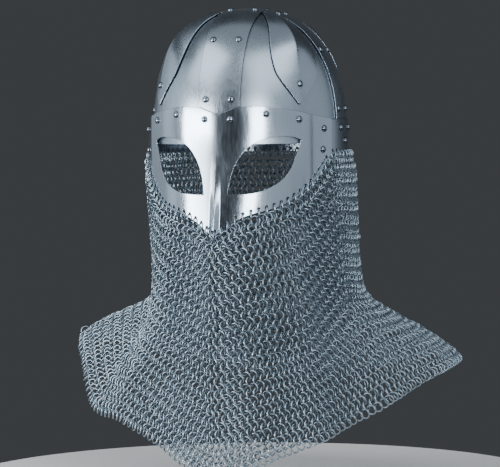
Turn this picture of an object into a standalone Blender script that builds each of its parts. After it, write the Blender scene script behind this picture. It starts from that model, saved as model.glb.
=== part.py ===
"""A viking spectacle helmet with a mail aventail, in separate riveted pieces.

Metres, +Z up. The face looks along -Y. The origin is the inside of the crown, where the
helmet sits on a head. Each steel plate is cut flat and then bent: its flat coordinates are
a way around or across, a way up or along, and a height above the skull panels.
"""
import math

import bmesh
import bpy
import numpy as np
from mathutils import Matrix, Vector

# Driving dimensions of the skull
SKULL_HALF_WIDTH = 0.098
SKULL_HALF_LENGTH = 0.107
SKULL_RISE = 0.1237
SKULL_FULLNESS = 2.28  # exponent of the dome's profile, where 2 is an ellipse
PLATE = 0.0012
GAP = 0.0003
LAYER_GAP = 0.0005  # between two faceted layers of plate
PANEL_SKIRT = 0.012  # how far the panels run down inside the rim
PANEL_EDGE_GAP = 0.010  # between two panels, behind a strap
PANEL_TOP_RADIUS = 0.014

# Straps over the skull
CROWN_STRAP_WIDTH = 0.0434
SIDE_STRAP_WIDTH = 0.037
STRAP_SKIRT = 0.004  # how far the straps run down inside the rim
BUTT_GAP = 0.0004

# Leaf plates
LEAF_TIP_HEIGHT = 0.0275
LEAF_TOP_DROP = 0.0042  # from the crown to the level of the leaf's top
LEAF_TIP_ANGLE = 49.0
LEAF_LEAN = 5.0  # degrees that the keel turns from the tip to the top
LEAF_SPREAD = 18.0  # degrees from the keel to the edge at the widest place
LEAF_KEEL_HEIGHT = 0.006
LEAF_SIDE_GAP = 0.0005

# Rim band
BAND_HEIGHT = 0.035
BAND_TOP = 0.0118
BAND_START_ANGLE = 58.5

# Mask
MASK_SWEEP = 71.0  # degrees from the nose to the rear edge
MASK_DROP = 0.1022  # from the rim's level to the tip of the nose
MASK_STEP_SPAN = 13.5  # degrees over which the mask climbs over the rim band
MASK_STEP_CLEARANCE = 1.0
MASK_BULGE = 0.0155  # how far the face plate stands forward at the nose's tip
MASK_BULGE_START = 0.004
MASK_BULGE_EASE = 0.012  # depth over which the bulge starts gently
MASK_BULGE_ANGLE = 51.0
NOSE_KEEL_HEIGHT = 0.0042
NOSE_KEEL_HALF_WIDTH = 0.005
NOSE_KEEL_START = 0.018
EYE_INNER_ANGLE = 7.1
EYE_OUTER_ANGLE = 48.4
EYE_BOTTOM = 0.0615
EYE_TOP = 0.0047

# Lacing holes
LACE_PITCH = 0.0078
LACE_HOLE_RADIUS = 0.0014
LACE_EDGE = 0.0036
HOLE_SIDES = 5
CUTTER_DEPTH = 0.02

# Rivets
RIVET_RADIUS = 0.00325
RIVET_HEIGHT = 0.0021
RIVET_SIDES = 8
RIVET_HALF_SPACING = 0.0129
CROWN_RIVET_REACH = 0.020
SIDE_TOP_RIVET_EDGE = 0.0135  # from the crown strap's edge
RIM_RIVET_HEIGHT = 0.0032
BROW_RIVET_HEIGHT = 0.013
SINGLE_RIVET_DEPTH = 0.0105
LEAF_RIVET_RISE = 0.0195  # above the leaf's tip

# Mail aventail
MAIL_WALL = 0.003
MAIL_HANG_GAP = 0.001
MAIL_OUTSET = 0.0022
MAIL_OUTSET_RUN = 0.013  # length over which the mail steps out
NECK_REACH = 0.106
NECK_DEPTH = 0.166
SHOULDER_REACH = 0.211
HEM_DEPTH = 0.351
NECK_CENTRE_BACK = 0.010
SHOULDER_CENTRE_BACK = 0.020
SHOULDER_SWELL = 0.010
NECK_SOFTNESS = 0.018
FOLD_HEIGHT = 0.008

# Mesh fineness
CELL = 0.0135
PANEL_CELL = 0.0175
STRAP_CELL = 0.0105
MAIL_BACK_COLUMNS = 20
MAIL_ROWS = 14

RIM_LEVEL = -(SKULL_RISE - PLATE)
STRAP_LOW = LAYER_GAP
STRAP_HIGH = STRAP_LOW + PLATE
LEAF_LOW = LAYER_GAP + GAP
LEAF_HIGH = LEAF_LOW + PLATE
BAND_LOW = STRAP_HIGH + LAYER_GAP
BAND_HIGH = BAND_LOW + PLATE
MASK_STEP = PLATE + LAYER_GAP
MASK_STEP_END = BAND_START_ANGLE - MASK_STEP_CLEARANCE
MASK_STEP_START = MASK_STEP_END - MASK_STEP_SPAN
LEAF_LENGTH = SKULL_RISE - LEAF_TOP_DROP - LEAF_TIP_HEIGHT
WRAP_RADIUS = (SKULL_HALF_WIDTH + SKULL_HALF_LENGTH) / 2

# Rows: share of the leaf's length from the tip, share of its greatest half width, share of its keel
LEAF_ROWS = (
    (0.00, 0.03, 0.00),
    (0.11, 0.31, 0.03),
    (0.22, 0.59, 0.14),
    (0.33, 0.83, 0.36),
    (0.45, 0.95, 0.62),
    (0.59, 1.00, 0.95),
    (0.72, 0.97, 1.00),
    (0.86, 0.85, 0.72),
    (1.00, 0.66, 0.20),
)

# Rows: share of the eye's width from the nose, share of its height from the bottom
EYE_UPPER = (
    (0.00, 0.00), (0.02, 0.20), (0.06, 0.41), (0.14, 0.63), (0.27, 0.83),
    (0.47, 0.96), (0.70, 1.00), (0.88, 0.99), (1.00, 0.945),
)
EYE_LOWER = (
    (1.00, 0.945), (0.97, 0.80), (0.92, 0.66), (0.855, 0.45), (0.75, 0.27),
    (0.62, 0.15), (0.47, 0.065), (0.32, 0.02), (0.16, 0.005), (0.00, 0.00),
)

# Rows: share of the mask's sweep from the nose, share of the mask's drop below or above the rim
MASK_LOWER = (
    (0.00, 1.000), (0.06, 0.960), (0.16, 0.865), (0.276, 0.800), (0.43, 0.752), (0.55, 0.700),
    (0.68, 0.608), (0.79, 0.494), (0.875, 0.381), (0.945, 0.285), (1.00, 0.227),
)
MASK_UPPER = (
    (0.00, 0.175), (0.08, 0.208), (0.155, 0.245), (0.32, 0.252), (0.465, 0.237),
    (0.65, 0.205), (0.74, 0.178), (0.87, 0.148), (1.00, 0.125),
)

# Rows: name, angle from the nose in degrees, height above the rim as a share of the mask's drop
MASK_RIVETS = (
    ("brow", 27.6, 0.173),
    ("temple", 47.3, 0.118),
    ("cheek_top", 64.3, 0.026),
    ("cheek_low", 63.3, -0.179),
)

# Rows: angle, reach of the neck bend and its depth as shares of the neck's, reach and depth of
# the hem as shares of the shoulder's reach and the hem's depth, share of the shoulder's swell
MAIL_SECTIONS = (
    (-180.0, 0.97, 1.07, 0.626, 0.763, 0.0),
    (-157.0, 1.00, 1.04, 0.687, 0.741, 0.3),
    (-135.0, 0.98, 1.03, 0.787, 0.698, 0.5),
    (-120.0, 0.96, 1.03, 0.863, 0.661, 0.5),
    (-105.0, 0.93, 1.05, 0.924, 0.632, 0.5),
    (-90.0, 0.915, 1.05, 0.919, 0.627, 0.5),
    (-75.0, 0.90, 1.05, 0.853, 0.707, 0.5),
    (-60.0, 0.92, 1.06, 0.825, 0.812, 0.4),
    (-45.0, 1.04, 1.09, 0.744, 0.832, 0.2),
    (-30.0, 1.16, 1.11, 0.673, 0.886, 0.0),
    (-15.0, 1.235, 1.17, 0.664, 0.954, 0.0),
    (0.0, 1.275, 1.20, 0.664, 1.000, 0.0),
    (15.0, 1.235, 1.17, 0.664, 0.952, 0.0),
    (30.0, 1.17, 1.12, 0.668, 0.910, 0.0),
    (45.0, 1.10, 1.11, 0.711, 0.866, 0.2),
    (60.0, 1.05, 1.08, 0.806, 0.806, 0.4),
    (75.0, 1.01, 1.06, 0.905, 0.729, 0.5),
    (90.0, 1.005, 1.06, 1.000, 0.684, 0.5),
    (105.0, 0.985, 1.05, 0.986, 0.681, 0.5),
    (120.0, 0.96, 1.04, 0.929, 0.690, 0.5),
    (135.0, 0.98, 1.03, 0.834, 0.712, 0.5),
    (157.0, 1.00, 1.04, 0.701, 0.746, 0.3),
    (180.0, 0.97, 1.07, 0.626, 0.763, 0.0),
)

# Rows: row of rivets on a strap, its height as a share of the skull's rise
CROWN_RIVETS = (("low", 0.263), ("middle", 0.739))
SIDE_RIVETS = (("low", 0.179), ("middle", 0.658))

# Rows: share of a rivet head's radius, share of its height
RIVET_PROFILE = ((0.0, 1.0), (0.72, 0.72), (1.0, 0.0), (0.0, 0.0))

# Rows: angle of the fold, its half width in degrees, share of the way down where it starts and
# where it is full, its height as a share of the fold height, where a groove is below zero
MAIL_FOLDS = (
    (39.0, 8.0, 0.12, 0.45, 0.8),
    (56.0, 9.0, 0.20, 0.55, -0.5),
    (22.0, 15.0, 0.02, 0.20, 0.5),
    (-38.0, 11.0, 0.25, 0.60, 0.5),
    (-60.0, 11.0, 0.30, 0.65, -0.4),
    (-12.0, 12.0, 0.45, 0.80, -0.4),
    (92.0, 10.0, 0.15, 0.40, -0.3),
    (118.0, 10.0, 0.25, 0.70, 0.6),
    (142.0, 11.0, 0.30, 0.80, -0.6),
    (168.0, 11.0, 0.35, 0.90, 0.7),
    (-165.0, 11.0, 0.30, 0.80, -0.6),
    (-140.0, 11.0, 0.30, 0.90, 0.7),
    (-112.0, 10.0, 0.25, 0.70, -0.5),
)


def smooth_step(value, low, high):
    share = min(1.0, max(0.0, (value - low) / (high - low)))
    return share * share * (3 - 2 * share)


def column(table, index):
    return [row[index] for row in table]


def smooth_curve(points, steps):
    """Points along a Catmull-Rom curve through the given ones, with both ends kept."""
    points = [np.array(point, float) for point in points]
    padded = [2 * points[0] - points[1]] + points + [2 * points[-1] - points[-2]]
    curve = []
    for before, start, end, after in zip(padded, padded[1:], padded[2:], padded[3:]):
        for step in range(steps):
            t = step / steps
            curve.append(0.5 * (2 * start + (end - before) * t
                                + (2 * before - 5 * start + 4 * end - after) * t ** 2
                                + (3 * start - before - 3 * end + after) * t ** 3))
    curve.append(points[-1])
    return curve


def skull_share(height, offset=0.0):
    """Width of the dome at a height, as a share of its width at the rim."""
    share = min(1.0, max(0.0, height / (SKULL_RISE + offset)))
    return (1 - share ** SKULL_FULLNESS) ** (1 / SKULL_FULLNESS)


def skull_point(angle, height, offset):
    """Point of the dome, or of the wall below it, at an angle from the nose in radians."""
    share = skull_share(height, offset)
    return Vector(((SKULL_HALF_WIDTH + offset) * share * math.sin(angle),
                   -(SKULL_HALF_LENGTH + offset) * share * math.cos(angle),
                   height))


def skull_height(x, y, offset):
    """Height of the dome above a place in plan."""
    reach = math.hypot(x / (SKULL_HALF_WIDTH + offset), y / (SKULL_HALF_LENGTH + offset))
    return (SKULL_RISE + offset) * (1 - reach ** SKULL_FULLNESS) ** (1 / SKULL_FULLNESS)


def skull_normal(point):
    """Outward direction of the dome at a point on it or near it."""
    across = point.x / SKULL_HALF_WIDTH
    along = point.y / SKULL_HALF_LENGTH
    up = max(0.0, point.z / SKULL_RISE)
    reach = math.hypot(across, along)
    plan = reach ** (SKULL_FULLNESS - 2) if reach > 0 else 0.0
    return Vector((plan * across / SKULL_HALF_WIDTH,
                   plan * along / SKULL_HALF_LENGTH,
                   up ** (SKULL_FULLNESS - 1) / SKULL_RISE)).normalized()


def profile_curve(half_length):
    """Angles up a profile of the dome, the places out and up there, and the lengths from the rim."""
    angles = np.linspace(0.0, math.pi / 2, 181)
    powers = np.cos(angles) ** SKULL_FULLNESS + np.sin(angles) ** SKULL_FULLNESS
    stretch = powers ** (-1 / SKULL_FULLNESS)
    out = half_length * stretch * np.cos(angles)
    up = SKULL_RISE * stretch * np.sin(angles)
    steps = np.hypot(np.diff(out), np.diff(up))
    return angles, out, up, np.concatenate(([0.0], np.cumsum(steps)))


def strap_stretch(angle, side_reach):
    """How far out a ray of the strap's profile meets the dome, by halving an interval."""
    low, high = 0.5, 1.2
    for _ in range(30):
        middle = (low + high) / 2
        reach = (side_reach ** 2 + (middle * math.cos(angle)) ** 2) ** (SKULL_FULLNESS / 2)
        if reach + (middle * math.sin(angle)) ** SKULL_FULLNESS < 1:
            low = middle
        else:
            high = middle
    return low


def strap_point(across, along, offset, half_length, half_side, profile):
    """Across, out and up places on a strap that runs up the dome from the rim."""
    out_axis = half_length + offset
    side_reach = across / (half_side + offset)
    if along <= 0:
        return across, out_axis * math.sqrt(1 - side_reach ** 2), along
    angle = float(np.interp(along, profile[3], profile[0]))
    stretch = strap_stretch(angle, side_reach)
    up = (SKULL_RISE + offset) * stretch * math.sin(angle)
    return across, out_axis * stretch * math.cos(angle), up


def crown_strap_bend(flat):
    """Bend of the long strap: across is +X, and along runs from the brow to the back."""
    profile = profile_curve(SKULL_HALF_LENGTH)
    along = profile[3][-1] - abs(flat.y)
    across, out, up = strap_point(flat.x, along, flat.z, SKULL_HALF_LENGTH, SKULL_HALF_WIDTH, profile)
    return Vector((across, math.copysign(out, flat.y), up))


def side_strap_bend(side):
    """Bend of a side strap, right for +1 and left for -1: along runs up from the rim."""
    profile = profile_curve(SKULL_HALF_WIDTH)

    def bend(flat):
        across, out, up = strap_point(flat.x, flat.y, flat.z, SKULL_HALF_WIDTH, SKULL_HALF_LENGTH, profile)
        return Vector((side * out, side * across, up))

    return bend


def panel_bend(side, back):
    """Bend of one quarter of the dome from a unit square: around, up, and height in metres."""
    angles, out, heights, lengths = profile_curve(SKULL_HALF_LENGTH)
    top_length = float(np.interp(-PANEL_TOP_RADIUS, -out, lengths))
    edge = PANEL_EDGE_GAP / 2

    def bend(flat):
        along = -PANEL_SKIRT + flat.y * (top_length + PANEL_SKIRT)
        height = along if along < 0 else float(np.interp(along, lengths, heights))
        share = skull_share(height)
        first = math.asin(edge / (SKULL_HALF_WIDTH * share))
        last = math.acos(edge / (SKULL_HALF_LENGTH * share))
        around = flat.x if side * back < 0 else 1 - flat.x
        point = skull_point(first + around * (last - first), height, 0.0)
        placed = point + skull_normal(point) * flat.z
        return Vector((side * placed.x, -back * placed.y, placed.z))

    return bend


def leaf_bend(side, back):
    """Bend of a leaf plate from a square: -1 to 1 across, 0 to 1 up, and height in metres."""
    across_end = CROWN_STRAP_WIDTH / 2 + LEAF_SIDE_GAP
    along_end = SIDE_STRAP_WIDTH / 2 + LEAF_SIDE_GAP

    def bend(flat):
        height = LEAF_TIP_HEIGHT + flat.y * LEAF_LENGTH
        half_width = math.radians(LEAF_SPREAD) * float(
            np.interp(flat.y, column(LEAF_ROWS, 0), column(LEAF_ROWS, 1)))
        keel = LEAF_KEEL_HEIGHT * float(np.interp(flat.y, column(LEAF_ROWS, 0), column(LEAF_ROWS, 2)))
        middle = math.radians(LEAF_TIP_ANGLE + LEAF_LEAN * flat.y)
        share = skull_share(height)
        first = max(middle - half_width, math.asin(across_end / (SKULL_HALF_WIDTH * share)))
        last = min(middle + half_width, math.acos(along_end / (SKULL_HALF_LENGTH * share)))
        across = flat.x if side * back < 0 else -flat.x
        angle = middle + (across * (last - middle) if across > 0 else across * (middle - first))
        point = skull_point(angle, height, 0.0)
        placed = point + skull_normal(point) * (flat.z + keel * (1 - abs(across)))
        return Vector((side * placed.x, -back * placed.y, placed.z))

    return bend


def mask_bulge(angle, height):
    """How far the face plate stands forward of the skull's wall."""
    down = MASK_BULGE_START - height
    if down <= 0:
        return 0.0
    fade = max(0.0, 1 - (math.degrees(angle) / MASK_BULGE_ANGLE) ** 2)
    return MASK_BULGE * down ** 2 / (down + MASK_BULGE_EASE) / MASK_DROP * fade


def nose_keel(across, height):
    """Height of the folded ridge that runs down the nose."""
    down = smooth_step(-height, NOSE_KEEL_START, MASK_DROP)
    return NOSE_KEEL_HEIGHT * down * max(0.0, 1 - abs(across) / NOSE_KEEL_HALF_WIDTH)


def band_bend(flat):
    """Bend of the rim band: around in metres at the wrap radius, up, and height."""
    return skull_point(flat.x / WRAP_RADIUS, flat.y, flat.z)


def mask_bend(flat):
    """Bend of the mask: as the rim band's, with the step over the band, the bulge and the keel."""
    angle = flat.x / WRAP_RADIUS
    step = MASK_STEP * smooth_step(abs(math.degrees(angle)), MASK_STEP_START, MASK_STEP_END)
    point = skull_point(angle, flat.y, flat.z + step)
    point.y -= mask_bulge(angle, flat.y) + nose_keel(flat.x, flat.y)
    return point


def new_material(name, colour, roughness):
    material = bpy.data.materials.new(name)
    material.use_nodes = True
    shader = material.node_tree.nodes["Principled BSDF"]
    shader.inputs["Base Color"].default_value = (*colour, 1.0)
    shader.inputs["Metallic"].default_value = 1.0
    shader.inputs["Roughness"].default_value = roughness
    material.diffuse_color = (*colour, 1.0)
    return material


def new_object(name, mesh, collection, material=None, parent=None):
    made = bpy.data.objects.new(name, mesh)
    collection.objects.link(made)
    made.parent = parent
    if material is not None:
        mesh.materials.append(material)
    return made


def grid_mesh(name, cells_across, cells_along, size_across, size_along):
    """A flat grid centred on the origin."""
    bm = bmesh.new()
    bmesh.ops.create_grid(bm, x_segments=cells_across, y_segments=cells_along, size=0.5)
    bmesh.ops.scale(bm, verts=bm.verts, vec=(size_across, size_along, 1.0))
    mesh = bpy.data.meshes.new(name)
    bm.to_mesh(mesh)
    bm.free()
    return mesh


def flat_blank(name, mesh, low, high, collection, material, shift=(0.0, 0.0)):
    """A flat plate from a grid, between two heights above the skull panels."""
    mesh.transform(Matrix.Translation((shift[0], shift[1], low)))
    blank = new_object(name, mesh, collection, material)
    solid = blank.modifiers.new("thickness", "SOLIDIFY")
    solid.thickness = high - low
    solid.offset = 1.0
    return blank


def bend_blank(blank, bend, parent):
    """Replace a flat blank, with its modifiers, by the bent plate."""
    bpy.context.view_layer.update()
    evaluated = blank.evaluated_get(bpy.context.evaluated_depsgraph_get())
    mesh = bpy.data.meshes.new_from_object(evaluated)
    for vertex in mesh.vertices:
        vertex.co = bend(vertex.co.copy())
    mesh.name = blank.name
    blank.modifiers.clear()
    blank.data = mesh
    mesh.shade_smooth()
    mesh.set_sharp_from_angle(angle=math.radians(40))
    blank.parent = parent


def flat_prism(name, outline, thickness, collection):
    """A cutter with a flat outline, from a filled and extruded curve."""
    curve = bpy.data.curves.new(name, "CURVE")
    curve.dimensions = "2D"
    curve.fill_mode = "BOTH"
    curve.extrude = thickness / 2
    spline = curve.splines.new("POLY")
    spline.points.add(len(outline) - 1)
    for point, place in zip(spline.points, outline):
        point.co = (place[0], place[1], 0.0, 1.0)
    spline.use_cyclic_u = True
    drawn = new_object(name + "_outline", curve, collection)
    bpy.context.view_layer.update()
    evaluated = drawn.evaluated_get(bpy.context.evaluated_depsgraph_get())
    bm = bmesh.new()
    bm.from_mesh(bpy.data.meshes.new_from_object(evaluated))
    bmesh.ops.remove_doubles(bm, verts=bm.verts, dist=0.00001)
    bmesh.ops.recalc_face_normals(bm, faces=bm.faces)
    mesh = bpy.data.meshes.new(name)
    bm.to_mesh(mesh)
    bm.free()
    cutter = new_object(name, mesh, collection)
    cutter.matrix_world = drawn.matrix_world
    bpy.data.objects.remove(drawn)
    return cutter


def round_cutters(name, centres, collection):
    """One cutter of many pegs, for the lacing holes."""
    bm = bmesh.new()
    for across, up in centres:
        bmesh.ops.create_cone(bm, cap_ends=True, segments=HOLE_SIDES, radius1=LACE_HOLE_RADIUS,
                              radius2=LACE_HOLE_RADIUS, depth=CUTTER_DEPTH,
                              matrix=Matrix.Translation((across, up, 0.0)))
    mesh = bpy.data.meshes.new(name)
    bm.to_mesh(mesh)
    bm.free()
    return new_object(name, mesh, collection)


def cut(blank, cutter, operation="DIFFERENCE"):
    boolean = blank.modifiers.new(cutter.name, "BOOLEAN")
    boolean.operation = operation
    boolean.solver = "EXACT"
    boolean.object = cutter


def mirrored(points):
    """The points of the left half, in order, then those of the right."""
    return [(-x, y) for x, y in reversed(points[1:])] + list(points)


def mask_edge(table, sign):
    """Right half of the mask's lower or upper edge, in flat metres."""
    corner = 2 if sign > 0 else 0
    rows = [(share * math.radians(MASK_SWEEP) * WRAP_RADIUS, sign * drop * MASK_DROP)
            for share, drop in table]
    straight = rows[:corner]
    return [np.array(row) for row in straight] + smooth_curve(rows[corner:], 2)


def eye_outline(side):
    """Outline of an eye hole in flat metres, with sharp corners at the nose and the temple."""
    inner = math.radians(EYE_INNER_ANGLE) * WRAP_RADIUS
    width = math.radians(EYE_OUTER_ANGLE - EYE_INNER_ANGLE) * WRAP_RADIUS
    height = EYE_BOTTOM - EYE_TOP
    upper = smooth_curve(EYE_UPPER, 2)
    lower = smooth_curve(EYE_LOWER, 2)
    shares = upper[:-1] + lower[:-1]
    return [(side * (inner + x * width), -EYE_BOTTOM + y * height) for x, y in shares]


def along_curve(points, pitch, start):
    """Places at equal steps along a line, with the line's direction at each."""
    points = np.array(points)
    steps = np.hypot(*np.diff(points, axis=0).T)
    lengths = np.concatenate(([0.0], np.cumsum(steps)))
    count = int((lengths[-1] - start) / pitch) + 1
    places = []
    for index in range(count):
        at = start + index * pitch
        piece = min(int(np.searchsorted(lengths, at, side="right")) - 1, len(steps) - 1)
        direction = (points[piece + 1] - points[piece]) / steps[piece]
        places.append((points[piece] + direction * (at - lengths[piece]), direction))
    return places


def mask_lace_centres():
    """Lacing holes of the mask, half a pitch to each side of the nose and then on."""
    edge = mask_edge(MASK_LOWER, -1)
    last = math.radians(MASK_SWEEP) * WRAP_RADIUS - LACE_EDGE - LACE_HOLE_RADIUS
    right = []
    for place, direction in along_curve(edge, LACE_PITCH, LACE_PITCH / 2):
        inward = np.array((-direction[1], direction[0]))
        centre = place + inward * LACE_EDGE
        if centre[0] < last:
            right.append((float(centre[0]), float(centre[1])))
    return right


def band_lace_centres():
    """Lacing holes of the rim band, between the mask's two rear edges."""
    first = math.radians(MASK_SWEEP) * WRAP_RADIUS + LACE_EDGE
    last = 2 * math.pi * WRAP_RADIUS - first
    count = round((last - first) / LACE_PITCH)
    height = BAND_TOP - BAND_HEIGHT + LACE_EDGE
    return [(first + (last - first) * index / count, height) for index in range(count + 1)]


def quarter_name(stem, side, back):
    return "{}_{}_{}".format(stem, "back" if back > 0 else "front", "right" if side > 0 else "left")


def make_panels(collection, parent):
    material = new_material("panel_steel", (0.50, 0.54, 0.58), 0.30)
    around = round(math.pi / 2 * WRAP_RADIUS / PANEL_CELL)
    up = round(profile_curve(SKULL_HALF_LENGTH)[3][-1] / PANEL_CELL)
    for side in (1, -1):
        for back in (-1, 1):
            mesh = grid_mesh("panel", around, up, 1.0, 1.0)
            panel = flat_blank(quarter_name("skull_panel", side, back), mesh, -PLATE, 0.0,
                               collection, material, (0.5, 0.5))
            bend_blank(panel, panel_bend(side, back), parent)


def make_straps(collection, parent):
    material = new_material("strap_steel", (0.56, 0.60, 0.64), 0.26)
    half_length = profile_curve(SKULL_HALF_LENGTH)[3][-1] + STRAP_SKIRT
    mesh = grid_mesh("crown_strap", round(CROWN_STRAP_WIDTH / STRAP_CELL),
                     2 * round(half_length / STRAP_CELL), CROWN_STRAP_WIDTH, 2 * half_length)
    strap = flat_blank("crown_strap", mesh, STRAP_LOW, STRAP_HIGH, collection, material)
    bend_blank(strap, crown_strap_bend, parent)
    out, lengths = profile_curve(SKULL_HALF_WIDTH)[1::2]
    top = float(np.interp(-(CROWN_STRAP_WIDTH / 2 + BUTT_GAP), -out, lengths))
    length = top + STRAP_SKIRT
    for side, name in ((1, "side_strap_right"), (-1, "side_strap_left")):
        mesh = grid_mesh(name, round(SIDE_STRAP_WIDTH / STRAP_CELL), round(length / STRAP_CELL),
                         SIDE_STRAP_WIDTH, length)
        strap = flat_blank(name, mesh, STRAP_LOW, STRAP_HIGH, collection, material,
                           (0.0, length / 2 - STRAP_SKIRT))
        bend_blank(strap, side_strap_bend(side), parent)


def make_leaves(collection, parent):
    material = new_material("leaf_steel", (0.52, 0.56, 0.60), 0.28)
    for side in (1, -1):
        for back in (-1, 1):
            mesh = grid_mesh("leaf", 4, len(LEAF_ROWS) + 1, 2.0, 1.0)
            leaf = flat_blank(quarter_name("leaf", side, back), mesh, LEAF_LOW, LEAF_HIGH,
                              collection, material, (0.0, 0.5))
            bend_blank(leaf, leaf_bend(side, back), parent)


def make_rim_band(collection, cutters, parent):
    material = new_material("band_steel", (0.53, 0.57, 0.61), 0.28)
    start = math.radians(BAND_START_ANGLE) * WRAP_RADIUS
    whole = 2 * math.pi * WRAP_RADIUS
    length = whole - 2 * start
    mesh = grid_mesh("rim_band", round(length / CELL), round(BAND_HEIGHT / CELL), length, BAND_HEIGHT)
    band = flat_blank("rim_band", mesh, BAND_LOW, BAND_HIGH, collection, material,
                      (whole / 2, BAND_TOP - BAND_HEIGHT / 2))
    overlap = [(x, y) for x, y in mask_lace_centres() if x > start - LACE_PITCH]
    overlap += [(whole - x, y) for x, y in overlap]
    holes = round_cutters("band_lacing", band_lace_centres() + overlap, cutters)
    cut(band, holes)
    bend_blank(band, band_bend, parent)
    bpy.data.objects.remove(holes)


def make_mask(collection, cutters, parent):
    material = new_material("mask_steel", (0.60, 0.64, 0.68), 0.20)
    half = math.radians(MASK_SWEEP) * WRAP_RADIUS
    top = MASK_DROP * max(column(MASK_UPPER, 1))
    width = 2 * half + CELL
    height = MASK_DROP + top + CELL
    mesh = grid_mesh("mask", 2 * round(width / 2 / CELL), round(height / CELL), width, height)
    bm = bmesh.new()
    bm.from_mesh(mesh)
    for place in (-NOSE_KEEL_HALF_WIDTH, NOSE_KEEL_HALF_WIDTH):
        bmesh.ops.bisect_plane(bm, geom=bm.verts[:] + bm.edges[:] + bm.faces[:],
                               plane_co=(place, 0.0, 0.0), plane_no=(1.0, 0.0, 0.0))
    bm.to_mesh(mesh)
    bm.free()
    mask = flat_blank("mask", mesh, BAND_LOW, BAND_HIGH, collection, material,
                      (0.0, (top - MASK_DROP) / 2))
    lower = mirrored(mask_edge(MASK_LOWER, -1))
    upper = mirrored(mask_edge(MASK_UPPER, 1))
    cut(mask, flat_prism("mask_outline", lower + upper[::-1], CUTTER_DEPTH, cutters), "INTERSECT")
    for side in (1, -1):
        cut(mask, flat_prism("eye_{}".format(side), eye_outline(side), CUTTER_DEPTH, cutters))
    right = mask_lace_centres()
    cut(mask, round_cutters("mask_lacing", right + [(-x, y) for x, y in right], cutters))
    tools = [modifier.object for modifier in mask.modifiers if modifier.type == "BOOLEAN"]
    bend_blank(mask, mask_bend, parent)
    for tool in tools:
        bpy.data.objects.remove(tool)


def mask_lower_height(angle):
    """Height of the helmet's lower edge at an angle from the nose in degrees."""
    band_low = BAND_TOP - BAND_HEIGHT
    if abs(angle) >= MASK_SWEEP:
        return band_low
    edge = np.array(mask_edge(MASK_LOWER, -1))
    mask_low = float(np.interp(math.radians(abs(angle)) * WRAP_RADIUS, edge[:, 0], edge[:, 1]))
    return mask_low if abs(angle) < BAND_START_ANGLE else min(mask_low, band_low)


def mail_section(angle):
    """Neck bend, hem and swell of the mail at an angle, smooth between the table's rows."""
    angles = column(MAIL_SECTIONS, 0)
    index = min(max(int(np.searchsorted(angles, angle, side="right")) - 1, 0), len(angles) - 2)
    share = (angle - angles[index]) / (angles[index + 1] - angles[index])
    count = len(angles) - 1
    rows = [np.array(MAIL_SECTIONS[(index + step) % count][1:]) for step in (-1, 0, 1, 2)]
    before, start, end, after = rows
    return 0.5 * (2 * start + (end - before) * share
                  + (2 * before - 5 * start + 4 * end - after) * share ** 2
                  + (3 * start - before - 3 * end + after) * share ** 3)


def mail_spine(angle):
    """Hanging edge, neck bend and hem of the mail at an angle in degrees, and its swell."""
    bend_reach, bend_depth, hem_reach, hem_depth, swell = mail_section(angle)
    turn = math.radians(angle)
    outward = np.array((math.sin(turn), -math.cos(turn), 0.0))
    low = mask_lower_height(angle)
    step = MASK_STEP * smooth_step(abs(angle), MASK_STEP_START, MASK_STEP_END)
    top = np.array(skull_point(turn, low, BAND_LOW + PLATE / 2 + step))
    top[1] -= mask_bulge(turn, low)
    top[2] -= MAIL_HANG_GAP
    bend = outward * bend_reach * NECK_REACH
    bend += np.array((0.0, NECK_CENTRE_BACK, -bend_depth * NECK_DEPTH))
    hem = outward * hem_reach * SHOULDER_REACH
    hem += np.array((0.0, SHOULDER_CENTRE_BACK, -hem_depth * HEM_DEPTH))
    return top, bend, hem, swell, outward


def fold_height(angle, down):
    """How far the mail stands out of its plain form, in ridges and grooves."""
    total = 0.0
    for fold_angle, half_width, start, full, share in MAIL_FOLDS:
        away = (angle - fold_angle + 180.0) % 360.0 - 180.0
        total += share * math.exp(-(away / half_width) ** 2) * smooth_step(down, start, full)
    return FOLD_HEIGHT * total


def mail_point(angle, down):
    """Middle of the mail wall, at an angle in degrees and a share of the way down."""
    top, bend, hem, swell, outward = mail_spine(angle)
    first = bend - top
    second = hem - bend
    first_length = np.linalg.norm(first)
    second_length = np.linalg.norm(second)
    at = down * (first_length + second_length)
    beyond = at - first_length
    turned = (beyond + math.hypot(beyond, NECK_SOFTNESS)) / 2
    turned_at_top = (-first_length + math.hypot(first_length, NECK_SOFTNESS)) / 2
    turned -= turned_at_top * (1 - down)
    point = top + first / first_length * (at - turned) + second / second_length * turned
    share = min(1.0, max(0.0, turned / second_length))
    normal = np.array((0.0, 0.0, 1.0)) * np.dot(second, outward) / second_length
    normal = normal - outward * second[2] / second_length
    # This curve is 1 at its highest, two thirds of the way out to the hem
    curve = 27 / 4 * share ** 2 * (1 - share)
    lift = SHOULDER_SWELL * swell * curve
    out = MAIL_OUTSET * smooth_step(at, 0.0, MAIL_OUTSET_RUN)
    return Vector(point + normal * lift + outward * (fold_height(angle, down) + out))


def mail_angles():
    """Angles of the mail's columns: those of the mask's lower edge, then even steps behind it."""
    front = [MASK_SWEEP * share for share in column(MASK_LOWER, 0)]
    steps = MAIL_BACK_COLUMNS // 2
    behind = [MASK_SWEEP + (180.0 - MASK_SWEEP) * (step + 1) / steps for step in range(steps)]
    right = front + behind
    return [-angle for angle in reversed(right[1:])] + right


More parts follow.
